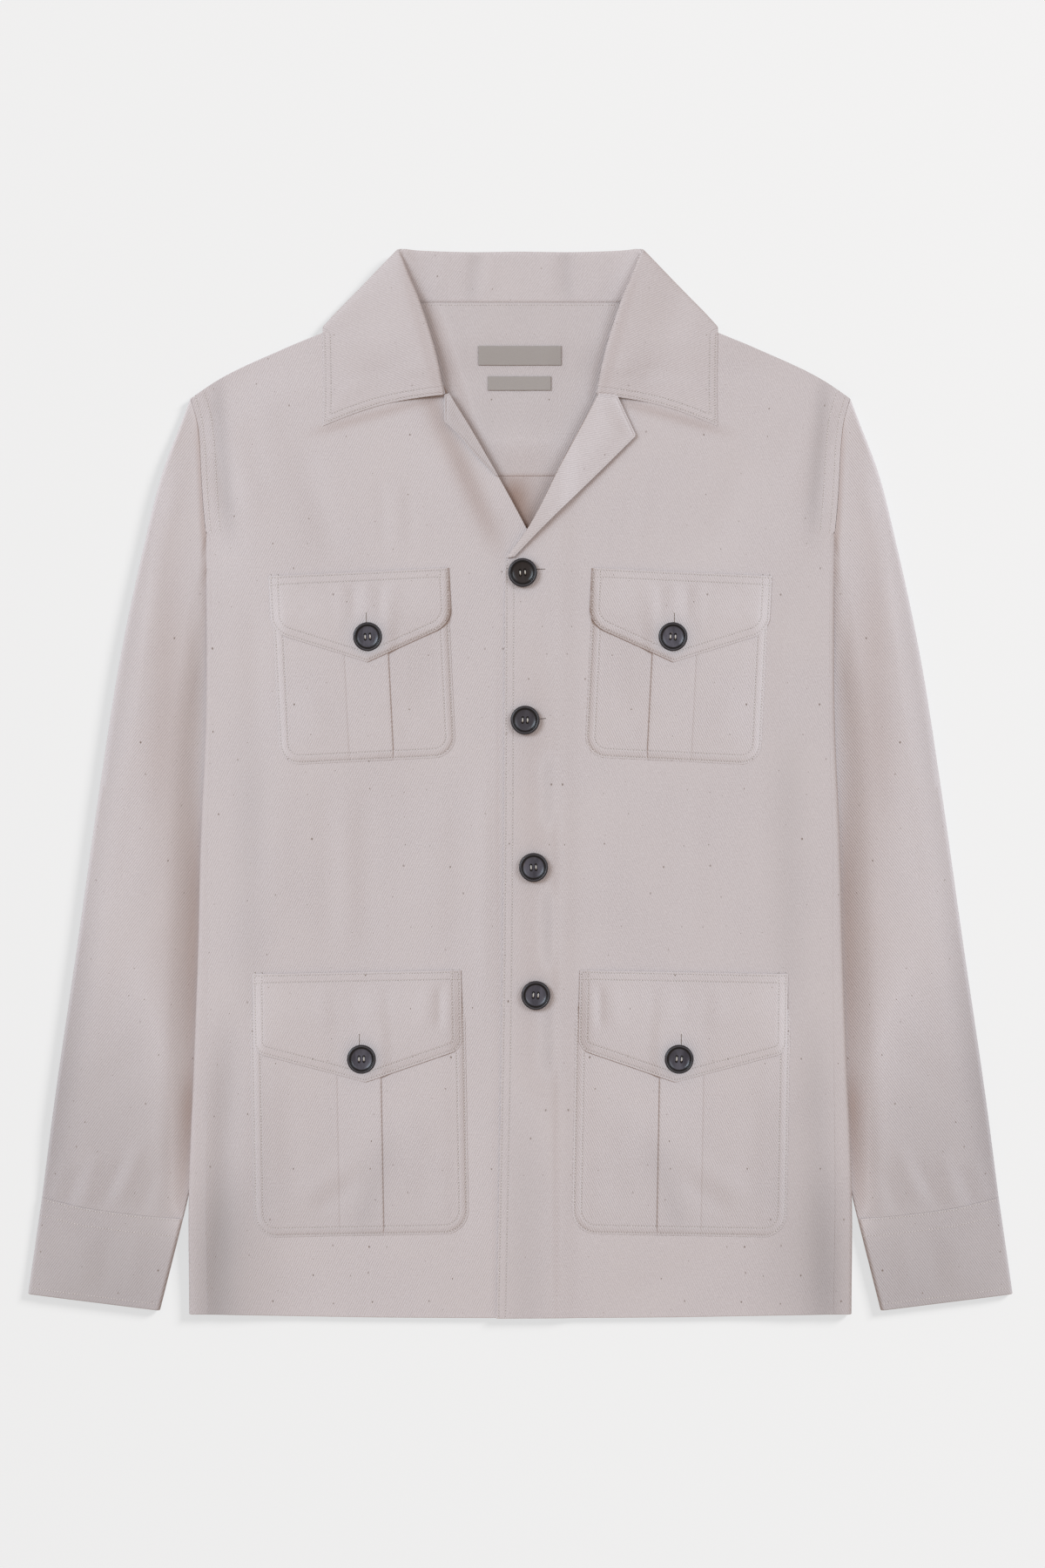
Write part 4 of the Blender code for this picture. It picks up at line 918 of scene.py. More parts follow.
# patch pockets: sewn flat round the edge, with one box pleat that stands up at the fold nearer the front edge
pocketLook = {
    "step": 1.7, "rowStep": 1.9, "rims": (0.6, 0.6), "gap": 0.06, "edge": 0.18, "edgeRamp": 5.0,
    "mouthSink": 0.9, "mouthRamp": 22.0, "rise": 0.85, "outerRise": -0.22, "innerFold": 0.5, "outerFold": 0.9,
    "riseFrom": 2.0, "riseRamp": 10.0, "pillow": 0.3, "pillowFrom": 7.0, "pillowRamp": 12.0, "foldRamp": 14.0,
    "closeColumns": (-0.75, -0.5, -0.25, 0.0, 0.3), "outerSpread": 1.6, "clear": 1.4,  # at a pleat's folds
}
pocketFolds = {
    "right": ((-164, -300, -106, -260, 9, 0.6), (-150, -306, -112, -280, 7, -0.5),
              (-60, -240, -70, -310, 10, -0.4), (-88, -225, -52, -285, 9, 0.35),
              (-170, -215, -160, -290, 10, -0.4), (-96, 60, -74, 30, 8, -0.3), (-150, 70, -140, 25, 8, 0.3)),
    "left": ((166, -298, 108, -258, 9, 0.6), (152, -306, 112, -279, 7, -0.5), (60, -238, 70, -308, 10, -0.4),
             (88, -224, 54, -284, 9, 0.35), (170, -216, 160, -292, 10, -0.4), (96, 60, 74, 30, 8, -0.3),
             (150, 70, 140, 25, 8, 0.3)),
}


def pleatRise(localX, row, inner, outer):
    past = np.abs(localX - row["pleatX"]) - row["pleatWidth"] / 2
    ease = np.where(localX < row["pleatX"], inner, outer)
    across = np.clip((localX - row["pleatX"]) / row["pleatWidth"] + 0.5, 0.0, 1.0)
    high = pocketLook["rise"] + (pocketLook["outerRise"] - pocketLook["rise"]) * across
    return high * (1 - smoothStep(past / ease))


def pocketOutline(row):  # down the inner side, along the bottom and up the outer side
    half, low, corner = row["width"] / 2, -row["depth"], row["corner"]
    turns = np.radians(np.linspace(0, 90, 12))
    inner = np.stack([-half + corner * (1 - np.cos(turns)), low + corner * (1 - np.sin(turns))], axis=1)
    sides = np.linspace(-row["mouth"], low + corner, 40)[:-1]
    down = np.stack([np.full(len(sides), -half), sides], axis=1)
    along = np.linspace(-half + corner, half - corner, 40)[1:-1]
    bottom = np.stack([along, np.full(len(along), low)], axis=1)
    return np.concatenate([down, inner, bottom, mirrored(inner)[::-1], mirrored(down)[::-1]])


def bagTop(local, fromEdge, row, side):  # top of the pocket's cloth above the front
    pillow = smoothStep((fromEdge - pocketLook["pillowFrom"]) / pocketLook["pillowRamp"])
    rise = pleatRise(local[..., 0], row, pocketLook["innerFold"], pocketLook["outerFold"])
    rise = rise * smoothStep((fromEdge + pocketLook["riseFrom"]) / pocketLook["riseRamp"])
    spot = pocketPlace(local, row, side)
    soft = ridges(pocketFolds[handOf(side)], spot[..., 0], spot[..., 1])
    soft = soft * smoothStep(fromEdge / pocketLook["foldRamp"])
    return pocketLook["gap"] + lay["cloth"] + pocketLook["pillow"] * pillow + rise + soft


def pocketGrid(row):  # close columns at the pleat's folds, and columns drawn in round the corners
    half, corner, halfPleat = row["width"] / 2, row["corner"], row["pleatWidth"] / 2
    core = half - corner
    even = np.arange(-core, core, pocketLook["step"])
    close = np.array(pocketLook["closeColumns"])
    folds = [row["pleatX"] - halfPleat + close, row["pleatX"] + halfPleat - pocketLook["outerSpread"] * close]
    apart = np.abs(np.abs(even - row["pleatX"]) - halfPleat)
    middle = np.sort(np.concatenate([even[apart > pocketLook["clear"]]] + folds))
    cornerAt = shares(corner, pocketLook["step"], pocketLook["rims"])[:-4] * corner
    columns = np.concatenate([-half + cornerAt, middle[1:], (half - cornerAt)[::-1]])
    tall = row["depth"] - row["mouth"]
    rows = -row["depth"] + shares(tall, pocketLook["rowStep"], pocketLook["rims"]) * tall
    into = np.clip(corner - (row["depth"] + rows), 0, None)
    inset = corner - np.sqrt(np.clip(corner**2 - into**2, 0, None))
    beyond = np.clip((np.abs(columns) - core) / corner, 0, 1)
    x = np.minimum(np.abs(columns), core)[None] + beyond[None] * (corner - inset[:, None])
    return np.stack([np.sign(columns)[None] * x, np.repeat(rows[:, None], len(columns), axis=1)], axis=-1)


def makePocket(side, hand, name):
    row = pockets[name]
    local = pocketGrid(row)
    grid = pocketPlace(local, row, side)
    x, y = grid[..., 0], grid[..., 1]
    gap = gapTo(local, pocketOutline(row))
    thin = pocketLook["edge"]
    thick = thin + (lay["cloth"] - thin) * smoothStep(gap / pocketLook["edgeRamp"])
    height = frontForm(side, x, y) + bagTop(local, gap, row, side) - lay["cloth"] + thick / 2
    below = smoothStep((-local[..., 1] - row["mouth"]) / pocketLook["mouthRamp"])
    height = height - pocketLook["mouthSink"] * (1 - below)
    mid, cut, gap, thick = facingUp(side, lift(grid, height), grain(x, y, -side), gap, thick)
    x, y = mid[..., 0], mid[..., 1]
    shade = frontShade(side, x, y) + ridges(shading["pocket"], np.abs(x), y)
    rest = [f"front_{hand}_cloth"]
    layCloth(f"pocket_{name}_{hand}", mid, thick, cut, rest, edgeGap=gap, shade=shade)


# flaps: two layers that thin towards the edge, flat at the outer side and a little lifted at the inner one
flapLook = {
    "step": 1.8, "tall": 60.0, "rim": 0.9, "gap": 0.08, "thin": 0.7, "thinRamp": 22.0, "edgeThin": 0.9,
    "outerTaper": 8.6, "outerFrom": 10.0, "outerRamp": 50.0, "outerSeat": 10.0, "overhang": 1.5,
    "bagFrom": 3.0, "bagRamp": 14.0, "pleatSpread": (9.0, 14.0), "foldRamp": 9.0,
    "innerLift": 0.15, "liftFrom": 20.0, "liftOver": 50.0, "hangFrom": 8.0, "hangRamp": 24.0,
    "cornerTurns": (0.0, 18.0, 36.0, 52.0, 66.0, 80.0),
}
flapFolds = {
    "right": ((-57.4, -140, -57.4, -176, 3.5, -0.9), (-66, -142, -70, -178, 6, 0.4),
              (-120, -140, -114, -176, 6, -0.3), (-142, -140, -136, -176, 6, 0.3),
              (-96, -140, -98, -176, 5, -0.3), (-119, 146, -117, 108, 4, -0.5),
              (-128, 148, -126, 104, 5, 0.35), (-99, 148, -100, 108, 4, -0.45), (-88, 148, -90, 108, 5, 0.35),
              (-109, 148, -109, 112, 4, 0.3), (-160, 140, -150, 116, 7, -0.3)),
    "left": ((56.7, -140, 56.7, -176, 3.5, -0.9), (66, -142, 69, -178, 6, 0.4),
             (119, -140, 114, -176, 6, -0.3), (142, -140, 137, -176, 6, 0.3), (96, -140, 97, -176, 5, -0.3),
             (119, 146, 117, 108, 4, -0.5), (128, 148, 126, 104, 5, 0.35), (99, 148, 100, 108, 4, -0.45),
             (88, 148, 90, 108, 5, 0.35), (109, 148, 109, 112, 4, 0.3), (160, 140, 150, 116, 7, -0.3)),
}


def flapDrop(x, row):
    half = row["flapWidth"] / 2
    off = x - row["flapPointX"]
    run = half - row["flapPointX"] * np.where(off < 0, -1.0, 1.0)
    point = row["flapPoint"] - (row["flapPoint"] - row["flapSide"]) * np.abs(off) / run
    into = np.clip(np.abs(x) - half + row["flapCorner"], 0, None)
    return point - row["flapCorner"] + np.sqrt(np.clip(row["flapCorner"]**2 - into**2, 0, None))


def flapOutline(row):  # down the inner side, round the point and up the outer side
    half, reach = row["flapWidth"] / 2, row["flapCorner"]
    corner = reach * (1 - np.cos(np.radians(np.linspace(0, 90, 14))))
    middle = np.linspace(-half + reach, half - reach, 61)[1:-1]
    xs = np.concatenate([-half + corner, middle, half - corner[::-1]])
    below = np.stack([xs, -flapDrop(xs, row)], axis=1)
    down = []
    for x, end in ((-half, below[0, 1]), (half, below[-1, 1])):
        ys = np.linspace(0, end, 20)[:-1]
        down.append(np.stack([np.full(len(ys), x), ys], axis=1))
    return np.concatenate([down[0], below, down[1][::-1]])


def flapSeat(local, row, side):  # what lies under a flap
    grid = pocketPlace(local, row, side)
    x, y = local[..., 0], local[..., 1]
    onBag = smoothStep((-y - flapLook["bagFrom"]) / (row["mouth"] + flapLook["bagRamp"]))
    ramp = np.where(x > 0, flapLook["outerSeat"], row["innerSeat"])
    within = smoothStep((row["width"] / 2 + flapLook["overhang"] - np.abs(x)) / ramp)
    spread = pleatRise(x, row, *flapLook["pleatSpread"])
    bag = (pocketLook["gap"] + lay["cloth"] + pocketLook["pillow"]) * onBag * within + spread * onBag
    return grid, frontForm(side, grid[..., 0], grid[..., 1]) + flapLook["gap"] + bag


def flapGrid(row):
    half, reach = row["flapWidth"] / 2, row["flapCorner"]
    corner = reach * (1 - np.cos(np.radians(flapLook["cornerTurns"])))
    rim = rimTurn[1:3] * flapLook["rim"]
    even = np.linspace(-half + reach, half - reach, int(row["flapWidth"] / flapLook["step"]))
    columns = np.unique(np.concatenate([-half + corner, -half + rim, even, half - rim, half - corner]))
    v = shares(flapLook["tall"], flapLook["step"], (flapLook["rim"], flapLook["rim"]))
    ys = -flapDrop(columns, row)[None] * (1 - v)[:, None]
    return np.stack([np.repeat(columns[None], len(v), axis=0), ys], axis=-1)


def makeFlap(side, hand, name):
    row = pockets[name]
    local = flapGrid(row)
    grid, seat = flapSeat(local, row, side)
    x, y = grid[..., 0], grid[..., 1]
    fromEdge = gapTo(local, flapOutline(row))
    byEdge = 1 - smoothStep(fromEdge / flapLook["thinRamp"])
    inwards = smoothStep((flapLook["liftFrom"] - local[..., 0]) / flapLook["liftOver"])
    hanging = smoothStep((-local[..., 1] - flapLook["hangFrom"]) / flapLook["hangRamp"])
    raised = flapLook["innerLift"] * inwards * hanging * byEdge
    soft = ridges(flapFolds[hand], x, y) * byButtons(x, y)
    height = seat + raised + soft * smoothStep(fromEdge / flapLook["foldRamp"]) + lay["double"] / 2
    outer = smoothStep((local[..., 0] + flapLook["outerFrom"]) / flapLook["outerRamp"])
    taper = row["innerTaper"] + (flapLook["outerTaper"] - row["innerTaper"]) * outer
    atEdge = 1 - smoothStep(fromEdge / taper)
    thick = lay["double"] - flapLook["thin"] * byEdge - flapLook["edgeThin"] * atEdge
    height = height - (lay["double"] - thick) / 2
    gap = np.minimum(fromEdge, -local[..., 1])
    mid, cut, gap, thick = facingUp(side, lift(grid, height), grain(x, y, -side), gap, thick)
    layCloth(f"flap_{name}_{hand}", mid, thick, cut, [f"pocket_{name}_{hand}_cloth"], edgeGap=gap)


for side, hand in hands:
    for name in pockets:
        makePocket(side, hand, name)
        makeFlap(side, hand, name)
print("pockets and flaps laid")

# lapels: the front's facing turned out along the roll line
lapels = {
    "left": {"notch": ((56.0, 278.0), (69.0, 275.4)),
             "edge": ((82.2, 247.4), (57.3, 222.7), (14.0, 180.4), (-4.6, 161.0)),
             "roll": ((-10.2, 160.4), (4.4, 180.4), (29.4, 228.5), (56.0, 278.0)),
             "across": 60.0, "rise": 1.1, "run": 12.0, "lift": 1.2, "shade": 0.0},
    "right": {"notch": ((-50.6, 277.6), (-54.0, 276.6)),
              "edge": ((-53.9, 257.3), (-44.3, 248.2), (-34.4, 236.5), (-17.6, 219.0)),
              "roll": ((-15.4, 218.4), (-25.7, 236.5), (-37.8, 257.3), (-50.6, 277.6)),
              "across": 20.0, "rise": 0.0, "run": 60.0, "lift": 1.8, "shade": -0.4},
    "long": 150.0, "rowStep": 1.9, "columnStep": 1.6, "notchAt": 0.8, "rollWidth": 26.0, "rollShare": 1.4,
    "gap": 0.15, "thinEdge": 1.3, "thinRamp": 6.0, "liftFrom": 12.0, "liftWidth": 16.0, "sewnWidth": 4.0,
    "rims": (1.0, 1.0),
}


def makeLapel(side, hand):
    row = lapels[hand]
    v = shares(lapels["long"], lapels["rowStep"], lapels["rims"])
    u = shares(row["across"], lapels["columnStep"], lapels["rims"])
    turn = lapels["notchAt"]
    lower = lineThrough(row["edge"][::-1], np.clip(v / turn, 0, 1))
    upper = lineThrough((row["edge"][0], row["notch"][1]), np.clip((v - turn) / (1 - turn), 0, 1))
    edge = np.where((v < turn)[:, None], lower, upper)
    roll = lineThrough(row["roll"], v)
    grid = patchBetween(lineThrough((roll[0], edge[0]), u), lineThrough(row["notch"], u), roll, edge, u, v)
    x, y = grid[..., 0], grid[..., 1]
    fromRoll = np.linalg.norm(grid - grid[:, :1], axis=-1)
    rolled = row["rise"] * smoothStep(lapels["rollShare"] * v)[:, None]
    rolled = rolled * (1 - smoothStep(fromRoll / lapels["rollWidth"]))
    edgeLift = row["lift"] * smoothStep(fromRoll / lapels["liftFrom"])
    edgeLift = edgeLift * (1 - smoothStep(gapTo(grid, edge) / lapels["liftWidth"]))
    front = np.maximum(frontForm(side, x, y), frontForm(side, x, y, False) + rollLift(side, x, y))
    height = front + lapels["gap"] + rolled + edgeLift + lay["double"] / 2
    gap = gapTo(grid, np.concatenate([edge, [row["notch"][0]]]))
    byEdge = 1 - smoothStep(gap / lapels["thinRamp"])
    thick = lay["double"] - (lay["double"] - lapels["thinEdge"]) * byEdge
    gap = np.where(gap < lapels["sewnWidth"], gap, farEdge)
    mid, cut, gap, thick = facingUp(side, lift(grid, height), grain(x, y, 1.0, row["run"]), gap, thick)
    # painted shade: the right lapel is greyed all over
    shade = np.full(gap.shape, row["shade"])
    layCloth("lapel_" + hand, mid, thick, cut, [f"front_{hand}_cloth"], edgeGap=gap, shade=shade)


# collar: one half from the front end of a leaf to the middle of the back; turn 1 lies under the yoke
collar = {
    "columns": ("seamX", "seamY", "rollX", "rollY", "rollZ", "edgeX", "edgeY", "bow", "facing", "turn"),
    "rows": ((66.0, 281.5, 54.3, 276.5, 8.2, 140.4, 254.2, 4.2, -15.0, 0.0),
             (74.5, 307.0, 62.3, 311.2, 10.4, 140.0, 279.0, 1.5, -10.0, 0.0),
             (82.0, 333.0, 72.3, 342.2, 11.6, 140.2, 303.8, 0.0, 5.0, 0.0),
             (76.5, 343.6, 79.0, 358.0, 11.4, 140.4, 314.5, 0.0, 25.0, 0.0),
             (73.5, 342.8, 84.0, 371.0, 10.2, 140.5, 322.0, 0.0, 38.0, 0.1),
             (71.0, 342.5, 86.2, 377.2, 8.6, 140.0, 324.8, 0.0, 48.0, 0.5),
             (67.5, 342.4, 82.5, 379.0, 5.6, 136.5, 326.0, 0.0, 60.0, 0.93),
             (60.0, 342.4, 70.0, 378.2, 2.7, 118.0, 330.0, 0.0, 78.0, 1.0),
             (37.0, 342.4, 37.0, 377.2, 2.55, 60.0, 327.0, 0.0, 90.0, 1.0),
             (0.0, 342.4, 0.0, 377.6, 2.55, 0.0, 326.0, 0.0, 90.0, 1.0)),
    "rollRadius": 1.45, "leafRest": 42.0, "leafGap": 0.03, "run": 155.5, "standRun": 55.0,
    "flat": (0.47, 0.125),  # metres
    "seamLift": 1.5, "sunkLift": 0.6, "sunkFrom": 2.7, "sunkOver": 1.6,  # the seam sinks towards the back
    "rowsPerKnot": 15, "endRows": (0.0, 0.005, 0.018, 0.036), "seenTo": 3.4,
    "standRim": 0.008, "standColumns": 16, "rollColumns": 11, "leafRim": 0.015, "leafColumns": 34,
    "backLow": 343.0, "backLowRamp": 6.0, "backHigh": 380.0, "backHighRamp": 4.0,  # where the stand shows
    "thin": 1.3, "thinRamp": 22.0, "edgeThin": 0.5, "edgeRamp": 2.5,
    "firstRow": 1.8, "secondRow": 5.6, "betweenRows": 3.5, "sewnFrom": 68.0,
}
collarFolds = {
    "right": ((-71, 304, -76, 288, 6, 0.4), (-96, 300, -104, 276, 9, -0.35), (-118, 290, -112, 262, 10, 0.3)),
    "left": ((90, 300, 92, 284, 6, -0.6), (74, 306, 76, 290, 6, 0.5), (112, 292, 108, 264, 10, 0.3)),
    "stand": ((-36, 344, -31, 380, 6, -0.9), (35, 344, 31, 380, 6, -0.9), (-24, 344, -20, 380, 5, 0.6),
              (22, 344, 20, 380, 5, 0.6), (-60, 346, -54, 380, 6, 0.5), (58, 346, 54, 380, 6, 0.5)),
}


def collarSection(row, side, standAt, turns, leafAt):
    facing = math.radians(row["facing"])
    outwards = np.array([math.cos(facing), math.sin(facing), 0.0])
    up = np.array([0.0, 0.0, 1.0])
    rest = lay["double"] / 2
    crest = math.radians(180.0 * (1 - row["turn"]))
    roll = np.array([row["rollX"], row["rollY"], row["rollZ"]])
    centre = roll - collar["rollRadius"] * (math.cos(crest) * outwards + math.sin(crest) * up)
    arc = centre + collar["rollRadius"] * (np.cos(crest + turns)[:, None] * outwards
                                           + np.sin(crest + turns)[:, None] * up)
    front = float(frontForm(1, np.array(row["seamX"]), np.array(row["seamY"]), False))
    sunk = float(smoothStep((row["step"] - collar["sunkFrom"]) / collar["sunkOver"]))
    sunkZ = lay["collarLift"] + collar["sunkLift"] * rest
    seamZ = (front + collar["seamLift"] + rest) * (1 - sunk) + sunkZ * sunk
    seam = np.array([row["seamX"], row["seamY"], seamZ])
    stand = seam + (arc[0] - seam) * standAt[:, None]
    start = arc[-1]
    edge = np.array([row["edgeX"], row["edgeY"]])
    flat = start[:2] + (edge - start[:2]) * leafAt[:, None]
    flat[:, 1] += row["bow"] * np.sin(math.pi * leafAt)
    ease = smoothStep(np.linalg.norm(flat - start[:2], axis=1) / collar["leafRest"])
    restX, restY = side * np.abs(flat[:, 0]), np.minimum(flat[:, 1], shoulderY(flat[:, 0]))
    front = np.maximum(frontForm(side, restX, restY), frontForm(side, restX, restY, False))
    lying = (front + collar["leafGap"] + rest) * (1 - row["turn"]) + rest * row["turn"]
    soft = ridges(collarFolds[handOf(side)], side * flat[:, 0], flat[:, 1]) * (1 - row["turn"])
    leaf = np.concatenate([flat, (start[2] * (1 - ease) + lying * ease + soft)[:, None]], axis=1)
    return np.concatenate([stand, arc, leaf])


collarEdges = []  # the seen edge of each leaf, for its stitches


def makeCollar():
    knots = np.arange(len(collar["rows"]), dtype=float)
    table = np.array(collar["rows"])
    count = collar["rowsPerKnot"] * (len(knots) - 1)
    ends = collar["endRows"]
    steps = np.concatenate([ends, np.linspace(ends[-1], knots[-1], count)[1:]])
    values = np.stack([throughRows(knots, column, steps) for column in table.T], axis=1)
    standRim, leafRim = collar["standRim"], collar["leafRim"]
    standOn = np.linspace(standRim, 1.0, collar["standColumns"])[:-1]
    standAt = np.concatenate([rimTurn[:3] * standRim, standOn])
    turns = np.radians(np.linspace(90.0, -90.0, collar["rollColumns"]))
    leafOn = np.linspace(0, 1 - leafRim, collar["leafColumns"])[1:]
    leafAt = np.concatenate([leafOn, 1 - rimTurn[2::-1] * leafRim])
    halves = []
    for side in (1, -1):
        half = []
        for step, items in zip(steps, values):
            row = dict(zip(collar["columns"], items), step=step)
            row["turn"] = min(max(row["turn"], 0.0), 1.0)
            half.append(collarSection(row, side, standAt, turns, leafAt))
        halves.append(np.array(half))
    mid = np.concatenate([halves[0], mirrored(halves[1][-2::-1])])
    stand = ridges(collarFolds["stand"], mid[..., 0], mid[..., 1])
    fold = len(standAt) + collar["rollColumns"] // 2
    inside = np.arange(mid.shape[1])[None, :] <= fold
    atBack = smoothStep((mid[..., 1] - collar["backLow"]) / collar["backLowRamp"])
    atBack = atBack * smoothStep((collar["backHigh"] - mid[..., 1]) / collar["backHighRamp"])
    mid[..., 2] += np.where(inside, stand * atBack, 0.0)
    x, y = mid[..., 0], mid[..., 1]
    hand = np.where(x < 0, -1.0, 1.0)
    leafCut = grain(-x * hand, y, 1.0, collar["run"])
    cut = np.where(inside[..., None], grain(x, y, 1.0, collar["standRun"]), leafCut)
    seen = int(np.searchsorted(steps, collar["seenTo"]))
    edges = [np.concatenate([mid[0, fold:, :2], mid[:seen, -1, :2]]),
             np.concatenate([mid[-1, fold:, :2], mid[:-seen - 1:-1, -1, :2]])]
    collarEdges.extend(edges)
    gap = np.minimum(*(gapTo(mid[..., :2], edge) for edge in edges))
    gap = np.where(inside, farEdge, gap)
    byEdge = 1 - smoothStep(gap / collar["thinRamp"])
    atEdge = 1 - smoothStep(gap / collar["edgeRamp"])
    thick = lay["double"] - collar["thin"] * byEdge - collar["edgeThin"] * atEdge
    mid[..., 2] -= (lay["double"] - thick) / 2
    sewnGap = gap * np.where(gap > collar["betweenRows"], stitchRows["second"] / collar["secondRow"], 1.0)
    shade = np.where(inside, ridges(shading["collar"], x, y), ridges(shading["leaf"], np.abs(x), y))
    mesh = shellMesh("collar_cloth", mid, thick, cut, False, sewnGap, shade=shade)
    piece = finishPiece("collar_cloth", mesh, drill, "collar")


for side, hand in hands:
    makeLapel(side, hand)
makeCollar()
print("lapels and collar laid")


# labels: bare woven tape sewn to the inside of the yoke
labels = {
    "label_neck": {"x": -0.4, "y": 304.6, "width": 59.0, "height": 13.6},
    "label_care": {"x": -0.6, "y": 285.0, "width": 45.0, "height": 10.0},
    "yarn": 0.55, "relief": 0.06, "above": 0.12, "columnStep": 1.2, "rowStep": 1.0, "rim": 0.4,
    "colour": (0.398, 0.360, 0.338, 1.0), "shade": (0.316, 0.283, 0.263, 1.0),
}


def makeTape():
    material, tree, shader = newMaterial("labelTape", 0.8)
    across, along, _ = addNode(tree, "ShaderNodeSeparateXYZ", Vector=cutMap(tree)).outputs
    turns = 2 * math.pi / (labels["yarn"] * mm)
    waves = [maths(tree, "SINE", maths(tree, "MULTIPLY", way, turns)) for way in (across, along)]
    weave = maths(tree, "MULTIPLY_ADD", maths(tree, "MULTIPLY", *waves), 0.5, 0.5)
    join(tree, shader.inputs["Base Color"], mixColour(tree, weave, labels["shade"], labels["colour"]))
    shader.inputs["Specular IOR Level"].default_value = 0.25
    join(tree, shader.inputs["Normal"], bump(tree, weave, labels["relief"] * mm))
    return material


def makeLabel(node, material):
    row = labels[node]
    rims = (labels["rim"], labels["rim"])
    xs = row["x"] + (shares(row["width"], labels["columnStep"], rims) - 0.5) * row["width"]
    ys = row["y"] + (shares(row["height"], labels["rowStep"], rims) - 0.5) * row["height"]
    grid = np.stack(np.meshgrid(xs, ys), axis=-1)
    height = backUnder(grid[..., 0], grid[..., 1]) + lay["cloth"] + labels["above"] + lay["tape"] / 2
    mid = lift(grid, height + ridges(yoke["folds"], grid[..., 0], grid[..., 1]))
    layCloth(node, mid, lay["tape"], grid, ["yoke_cloth"], material=material, slot="label_tape")


tape = makeTape()
for node in ("label_neck", "label_care"):
    makeLabel(node, tape)


# thread and horn
threadLook = {
    # the third colour is a painted shade for the holes at the ends of stitches
    "colour": (0.68, 0.62, 0.59, 1.0), "button": (0.70, 0.66, 0.60, 1.0), "needleShade": (0.35, 0.305, 0.285, 1.0),
    # the two hole colours are painted shade for the buttonhole slits
    "frontHole": (0.085, 0.045, 0.028, 1.0), "flapHole": (0.24, 0.20, 0.18, 1.0), "fuzz": 900.0,
    "shade": (0.3, 0.7, 0.82, 1.05),  # from these values of the noise to these shares of the colour
}
hornLook = {
    "dark": (0.038, 0.036, 0.046, 1.0), "mid": (0.098, 0.092, 0.112, 1.0), "cloud": (160.0, 46.0, 90.0),
    "pale": (0.21, 0.175, 0.155, 1.0), "streak": (330.0, 120.0, 60.0), "streakShare": 0.5,
    # painted shade: the near-black colour below darkens the wall up from the dish and the outer edge
    "brown": (0.018, 0.013, 0.011, 1.0), "grooveAndEdgeShade": (0.004, 0.004, 0.005, 1.0),
    # the ring colour is a painted highlight, a thin pale line along the top of the rim
    "rim": (0.026, 0.023, 0.027, 1.0), "ring": (0.095, 0.092, 0.100, 1.0),
    "highlightAt": 0.88, "highlightWidth": 0.025,  # shares of the button's radius, for the ring, a painted highlight along the top of the rim
    "grooveFrom": (0.69, 0.74), "rimFrom": (0.82, 0.87), "edgeFrom": (0.955, 0.985),
    "cloudFrom": (0.35, 0.7), "streakFrom": (0.66, 0.74), "rough": (0.24, 0.36),
}


def makeThread(name, colour):
    material, tree, shader = newMaterial(name, 0.75)
    place = tree.nodes.new("ShaderNodeTexCoord").outputs["Object"]
    shade = mapRange(tree, noise(tree, place, threadLook["fuzz"], 2.0), *threadLook["shade"])
    yarn = mixColour(tree, 1.0, colour, shade, "MULTIPLY")
    # painted shade of the stitch holes, on the dark beads
    yarn = mixColour(tree, attribute(tree, "needleShade"), yarn, threadLook["needleShade"])
    join(tree, shader.inputs["Base Color"], yarn)
    shader.inputs["Specular IOR Level"].default_value = 0.3
    return material


def makeHorn():
    material, tree, shader = newMaterial("buttonHorn", 0.3)
    place = tree.nodes.new("ShaderNodeTexCoord").outputs["Object"]
    cloud = noise(tree, vectorMaths(tree, "MULTIPLY", place, hornLook["cloud"]), 1.0, 4.0, 0.6)
    cloud = mapRange(tree, cloud, *hornLook["cloudFrom"])
    colour = mixColour(tree, cloud, hornLook["dark"], hornLook["mid"])
    streak = noise(tree, vectorMaths(tree, "MULTIPLY", place, hornLook["streak"]), 1.0, 3.0)
    streak = maths(tree, "MULTIPLY", mapRange(tree, streak, *hornLook["streakFrom"]), hornLook["streakShare"])
    out = attribute(tree, "turned")
    fromHighlight = maths(tree, "ABSOLUTE", maths(tree, "SUBTRACT", out, hornLook["highlightAt"]))
    bands = ((streak, "pale"), (attribute(tree, "brown"), "brown"),
             # painted shade, near black, on the wall up from the dish to the rim and at the outer edge
             (mapRange(tree, out, *hornLook["grooveFrom"]), "grooveAndEdgeShade"),
             (mapRange(tree, out, *hornLook["rimFrom"]), "rim"),
             # painted highlight: a thin pale ring along the top of the rim
             (mapRange(tree, fromHighlight, 0.0, hornLook["highlightWidth"], 1.0, 0.0), "ring"),
             (mapRange(tree, out, *hornLook["edgeFrom"]), "grooveAndEdgeShade"))
    for amount, tint in bands:
        colour = mixColour(tree, amount, colour, hornLook[tint])
    join(tree, shader.inputs["Base Color"], colour)
    join(tree, shader.inputs["Roughness"], mapRange(tree, cloud, 0.0, 1.0, *hornLook["rough"]))
    shader.inputs["Specular IOR Level"].default_value = 0.35
    return material


thread = makeThread("sewingThread", threadLook["colour"])
buttonThread = makeThread("buttonThread", threadLook["button"])
horn = makeHorn()

